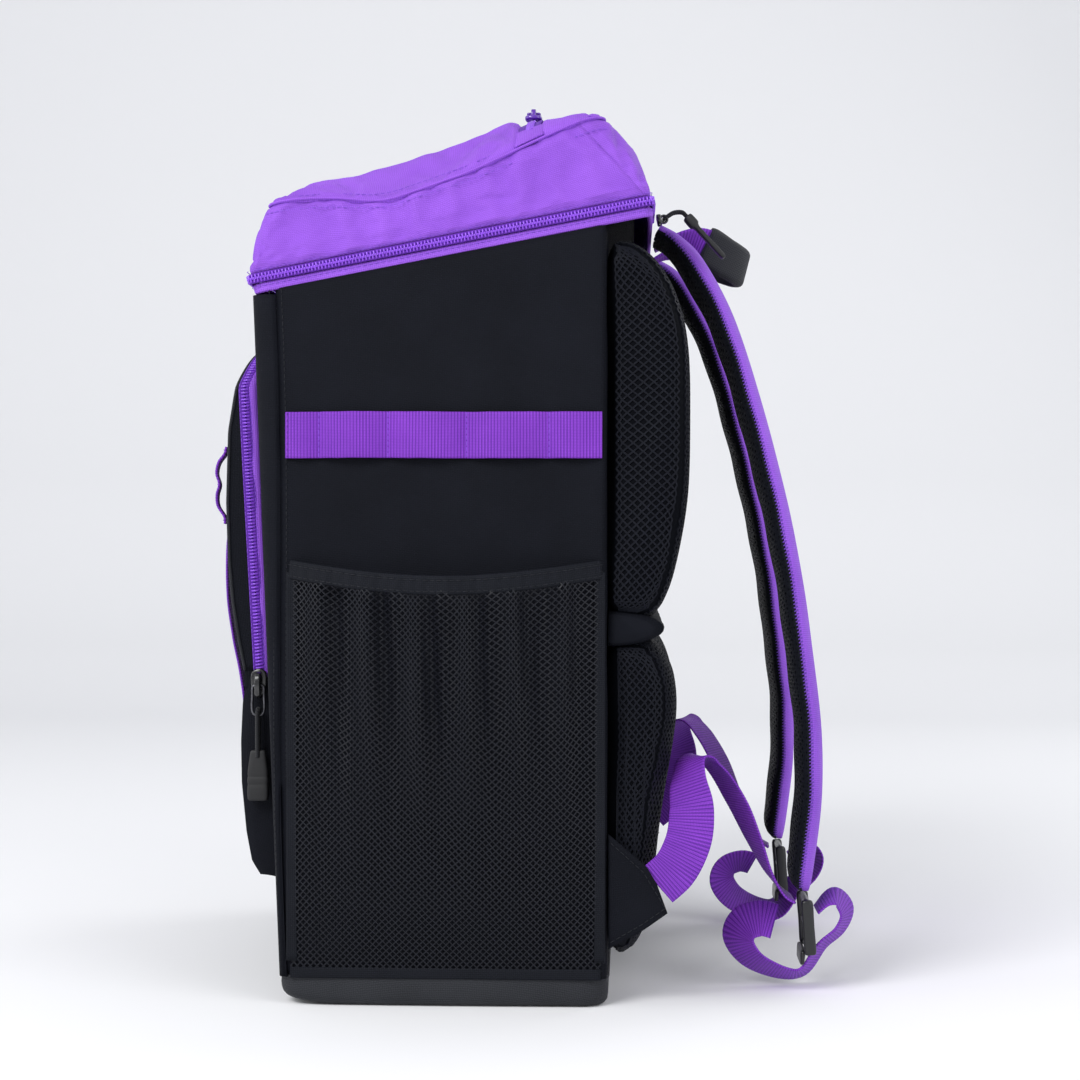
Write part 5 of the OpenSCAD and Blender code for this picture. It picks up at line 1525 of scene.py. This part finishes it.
strap_half = strap_half * (0.55 + 0.45 * tip)
strap_deep = strap_thick * (0.62 + 0.38 * ease(strap_t * 14)) * (0.45 + 0.55 * tip)
strap_deep = strap_deep * (1 - 0.05 * np.sin(strap_t * 31) ** 2)
overlock = plastic("overlock_thread", (0.10, 0.025, 0.33), 0.55)


def strap_shell(outer, count=26):
    """Half of the strap's section at every station: y = h (1 - |x / w|^3.2)^(1/2.2) from the
    seam to the face, closed by a flat inside. Positive up is towards the wearer."""
    turn = np.linspace(-1, 1, count)
    x = np.sign(turn) * np.abs(np.sin(turn * math.pi / 2)) ** 0.8
    rise = np.clip(1 - np.abs(x) ** 3.2, 0, 1) ** (1 / 2.2)
    seam = strap_deep[:, None] * 0.6
    wob = 1 + 0.02 * ripple(strap_t[:, None] * 390, x[None] * 34, 90 + outer, 4, 90)
    height = (-strap_deep[:, None] * 0.6 if outer else strap_deep[:, None] * 0.4) * rise * wob
    face = np.stack([strap_half[:, None] * x[None] * np.ones_like(height), seam + height], -1)
    grow = 0.0 if outer else -0.4
    face[..., 0] += np.sign(x)[None] * grow
    back_x = np.linspace(0.96, -0.96, 6)
    back_up = seam + (0.5 if outer else -0.2)
    back = np.stack([strap_half[:, None] * back_x[None], np.broadcast_to(back_up, (len(seam), 6))], -1)
    return np.concatenate([face, back], 1), face


def carried(path, side, flat):
    """Section points (stations, points, 2) set into place along a path, as swept() does."""
    along = unit(np.gradient(path, axis=0))
    side = square_to(side, along)
    return path[:, None] + side[:, None] * flat[..., :1] + np.cross(along, side)[:, None] * flat[..., 1:]


for hand_x, hand in hands:
    mirror = np.array([hand_x, 1.0, 1.0])
    path = strap_line * mirror
    profile, face = strap_shell(True)
    cover = swept(f"strap_cover_cloth_{hand}", path, x_way, profile, around=True)
    finished(cover, purple_cloth, f"strap_{hand}", [f"strap_cover_{hand}"])
    profile, inner_face = strap_shell(False)
    lining = swept(f"strap_lining_{hand}", path, x_way, profile[:, ::-1], around=True)
    finished(lining, spacer_back, f"strap_{hand}", [f"strap_mesh_{hand}", f"strap_foam_{hand}"])
    fine_path, _ = evenly(catmull(strap_points, 10), 2.1)
    at = np.linspace(0, 1, len(fine_path))
    cells = np.linspace(0, inner_face.shape[1] - 1, 40)
    both = np.stack([np.interp(at, strap_t, inner_face[:, int(round(c)), k]) for c in cells for k in (0, 1)],
                    -1)
    grid = carried(fine_path * mirror, x_way, both.reshape(len(at), 40, 2) + [0, 0.5])
    if np.sum(grid_normals(grid)[40:60, 18:22] * [0, -1.0, 0]) < 0:
        grid = grid[:, ::-1]
    strap_net = net(f"strap_net_{hand}", grid, 1.0, 0.8)
    finished(strap_net, spacer_yarn, f"strap_{hand}")
    for edge, column in ((0, 0), (1, -1)):
        line = carried(path, x_way, face[:, [column]])[:, 0]
        at_seam, seam_along = evenly(line[2:-1], 1.9)
        out = x_way if edge == 1 else -x_way
        slant = np.cross(seam_along, x_way) + seam_along * 0.35
        row = strewn(f"strap_overlock_{hand}_{edge}", bead(2.6, 0.95, 0.7), at_seam + out * 0.1, slant, out)
        finished(row, overlock, f"strap_{hand}")

# ---- Ladder locks and webbing -----------------------------------------------------------------
# A moulded three-bar buckle hangs on each strap's tip. The lower webbing comes from the wing,
# goes over with a half twist and through the buckle, and its spare end hangs in loops.
lock_plastic = plastic("lock_plastic", (0.006, 0.0064, 0.008), 0.38, coat=0.1)
lock_tilt = math.radians(4)
lock_at = np.array([98.0, 196.5, 52.0])
rail_sizes = ((0.2, 2.6, 4.0), (-0.6, 3.8, 6.2), (-3, 4, 7), (-15, 3.6, 6.0), (-27, 4, 7), (-29.6, 3.8, 6.4),
              (-30.2, 2.4, 4.4))
lever_sizes = ((-27.4, -3.4, 2.2), (-29, -3.8, 3.0), (-32, -4.1, 2.8), (-35, -4.6, 2.4), (-36.2, -5.0, 1.6))


def in_lock(points, mirror):
    """Places given in the buckle's own frame, tilted 4 degrees on the strap's tip."""
    p = np.asarray(points, float)
    c, s = math.cos(lock_tilt), math.sin(lock_tilt)
    return (lock_at + np.stack([p[..., 0], p[..., 1] * c - p[..., 2] * s, p[..., 1] * s + p[..., 2] * c],
                               -1)) * mirror


tail_points = np.array([
    (98, 203, 44), (98, 209, 50), (98, 215, 51), (98, 220, 43), (98, 216, 33), (98, 206, 24), (98, 196, 10),
    (98, 184, 9), (98, 168, 16), (98, 160, 27), (99, 163, 36), (100, 172, 39.5), (101, 180, 38)], float)
lower_points = np.array([
    (145.4, 114.5, 65), (144.6, 124, 74), (142.4, 131, 88), (138, 133, 104), (132, 131, 119), (124, 133, 129),
    (117, 140, 130), (111, 149, 121), (106, 159, 104), (102, 168, 84), (100, 176, 66), (99, 184, 54.5),
    (98.5, 190, 50)], float)
lower_across = np.array([
    (0, 0.545, -0.839), (0, 0.72, -0.69), (0.1, 0.9, -0.42), (0.3, 0.93, -0.1), (0.65, 0.72, 0.1),
    (0.9, 0.4, 0), (0.97, 0.2, 0.1), (0.95, 0.25, 0.25), (0.92, 0.3, 0.3), (0.94, 0.25, 0.2),
    (0.98, 0.1, 0.1), (1, 0, 0), (1, 0, 0)], float)
for hand_x, hand in hands:
    mirror = np.array([hand_x, 1.0, 1.0])
    for k, x in enumerate((-16.0, 16.0)):
        rings = ringed((x, 0, 0), z_way, x_way, y_way, [
            (z, rounded_box(wide, deep, wide * 0.36, 3)) for z, wide, deep in rail_sizes])
        rail = formed(f"lock_rail_{hand}_{k}", in_lock(rings, mirror), 1)
        finished(rail, lock_plastic, f"lock_{hand}",
                 [f"ladder_lock_{hand}"] if k == 0 else [])
    for k, (z, tall) in enumerate(((-2.0, 4.0), (-14.5, 4.6), (-28.0, 4.0))):
        line = in_lock(np.stack([np.linspace(-15, 15, 9), np.zeros(9), np.full(9, z)], -1), mirror)
        bar = swept(f"lock_bar_{hand}_{k}", line, (0, 1.0, 0), flat_oval(4.0, tall, 5, 3))
        finished(bar, lock_plastic, f"lock_{hand}")
    rings = ringed((0, 0, 0), z_way, x_way, y_way, [
        (z, rounded_box(27.6, thick, thick * 0.36, 3) + [0, y]) for z, y, thick in lever_sizes])
    finished(formed(f"lock_lever_{hand}", in_lock(rings, mirror), 1), lock_plastic,
             f"lock_{hand}")
    tail_line = catmull(tail_points, 8) * mirror
    tail_along = unit(np.gradient(tail_line, axis=0))
    tail_far = np.linspace(0, 1, len(tail_line))[:, None]
    lean_over = np.radians(22) * ease(tail_far / 0.25) + np.radians(20) * ease((tail_far - 0.5) / 0.3)
    tail_side = np.cos(lean_over) * x_way + np.sin(lean_over) * hand_x * np.cross(tail_along, x_way)
    tail = webbing(f"webbing_tail_cloth_{hand}", tail_line, tail_side, wide=24.6, thick=1.3, seed=95)
    finished(tail, webbing_cloth, f"lock_{hand}", [f"webbing_tail_{hand}"])
    across = catmull(lower_across, 8) * mirror
    lower = webbing(f"lower_webbing_cloth_{hand}", catmull(lower_points, 8) * mirror, across, wide=24.6,
                    thick=1.3, seed=97)
    finished(lower, webbing_cloth, nodes=[f"lower_webbing_{hand}"])
    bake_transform(lower)

# ---- Grab handle ------------------------------------------------------------------------------
# A loop of ribbed webbing sewn in at the top of the back, with a padded black sleeve round its
# middle, sewn shut along its underside.
handle_points = np.array([(26, 114.5, 421), (26, 122, 424.5), (25, 132, 426), (22, 144, 424),
                          (16, 155, 418.5), (8, 163.5, 414)], float)
handle_across = np.array([(1, 0, 0), (1, 0, 0.1), (0.8, 0.2, 0.5), (0.4, 0.2, 0.9), (0.1, 0.25, 0.97),
                          (0, 0.25, 0.97)], float)
whole = np.concatenate([handle_points, [(0, 167, 412.5)], handle_points[::-1] * [-1, 1, 1]])
across = np.concatenate([handle_across, [(0, 0.25, 0.97)], handle_across[::-1]])
route, sides = catmull(whole, 8), catmull(across, 8)
first = webbing("handle_webbing_right", route[:28], sides[:28], wide=20.0, thick=2.0, seed=98)
finished(first, webbing_cloth, "grab_handle", ["grab_handle"])
second = webbing("handle_webbing_left", route[-28:], sides[-28:], wide=20.0, thick=2.0, seed=99)
finished(second, webbing_cloth, "grab_handle")
sleeve_route, _ = evenly(np.concatenate([route[24:-24], sides[24:-24]], 1), 1.2)
count = len(sleeve_route)
ends = np.minimum(np.arange(count), np.arange(count)[::-1]) * 1.2
plump = 0.55 + 0.45 * np.sqrt(np.clip(1 - (1 - np.minimum(ends / 4, 1)) ** 2, 0, 1))
oval = flat_oval(23, 7, 7, 10)[None]
creases = ripple(np.arange(count)[:, None] * 1.2, oval[..., 0], 101, 4, 26)[..., None]
sleeve_profile = oval * np.stack([0.94 + 0.06 * plump, plump], -1)[:, None] * (1 + 0.025 * creases)
sleeve = swept("handle_sleeve_cloth", sleeve_route[:, :3], sleeve_route[:, 3:], sleeve_profile, around=True)
finished(sleeve, boot_cloth, "grab_handle", ["handle_sleeve"])
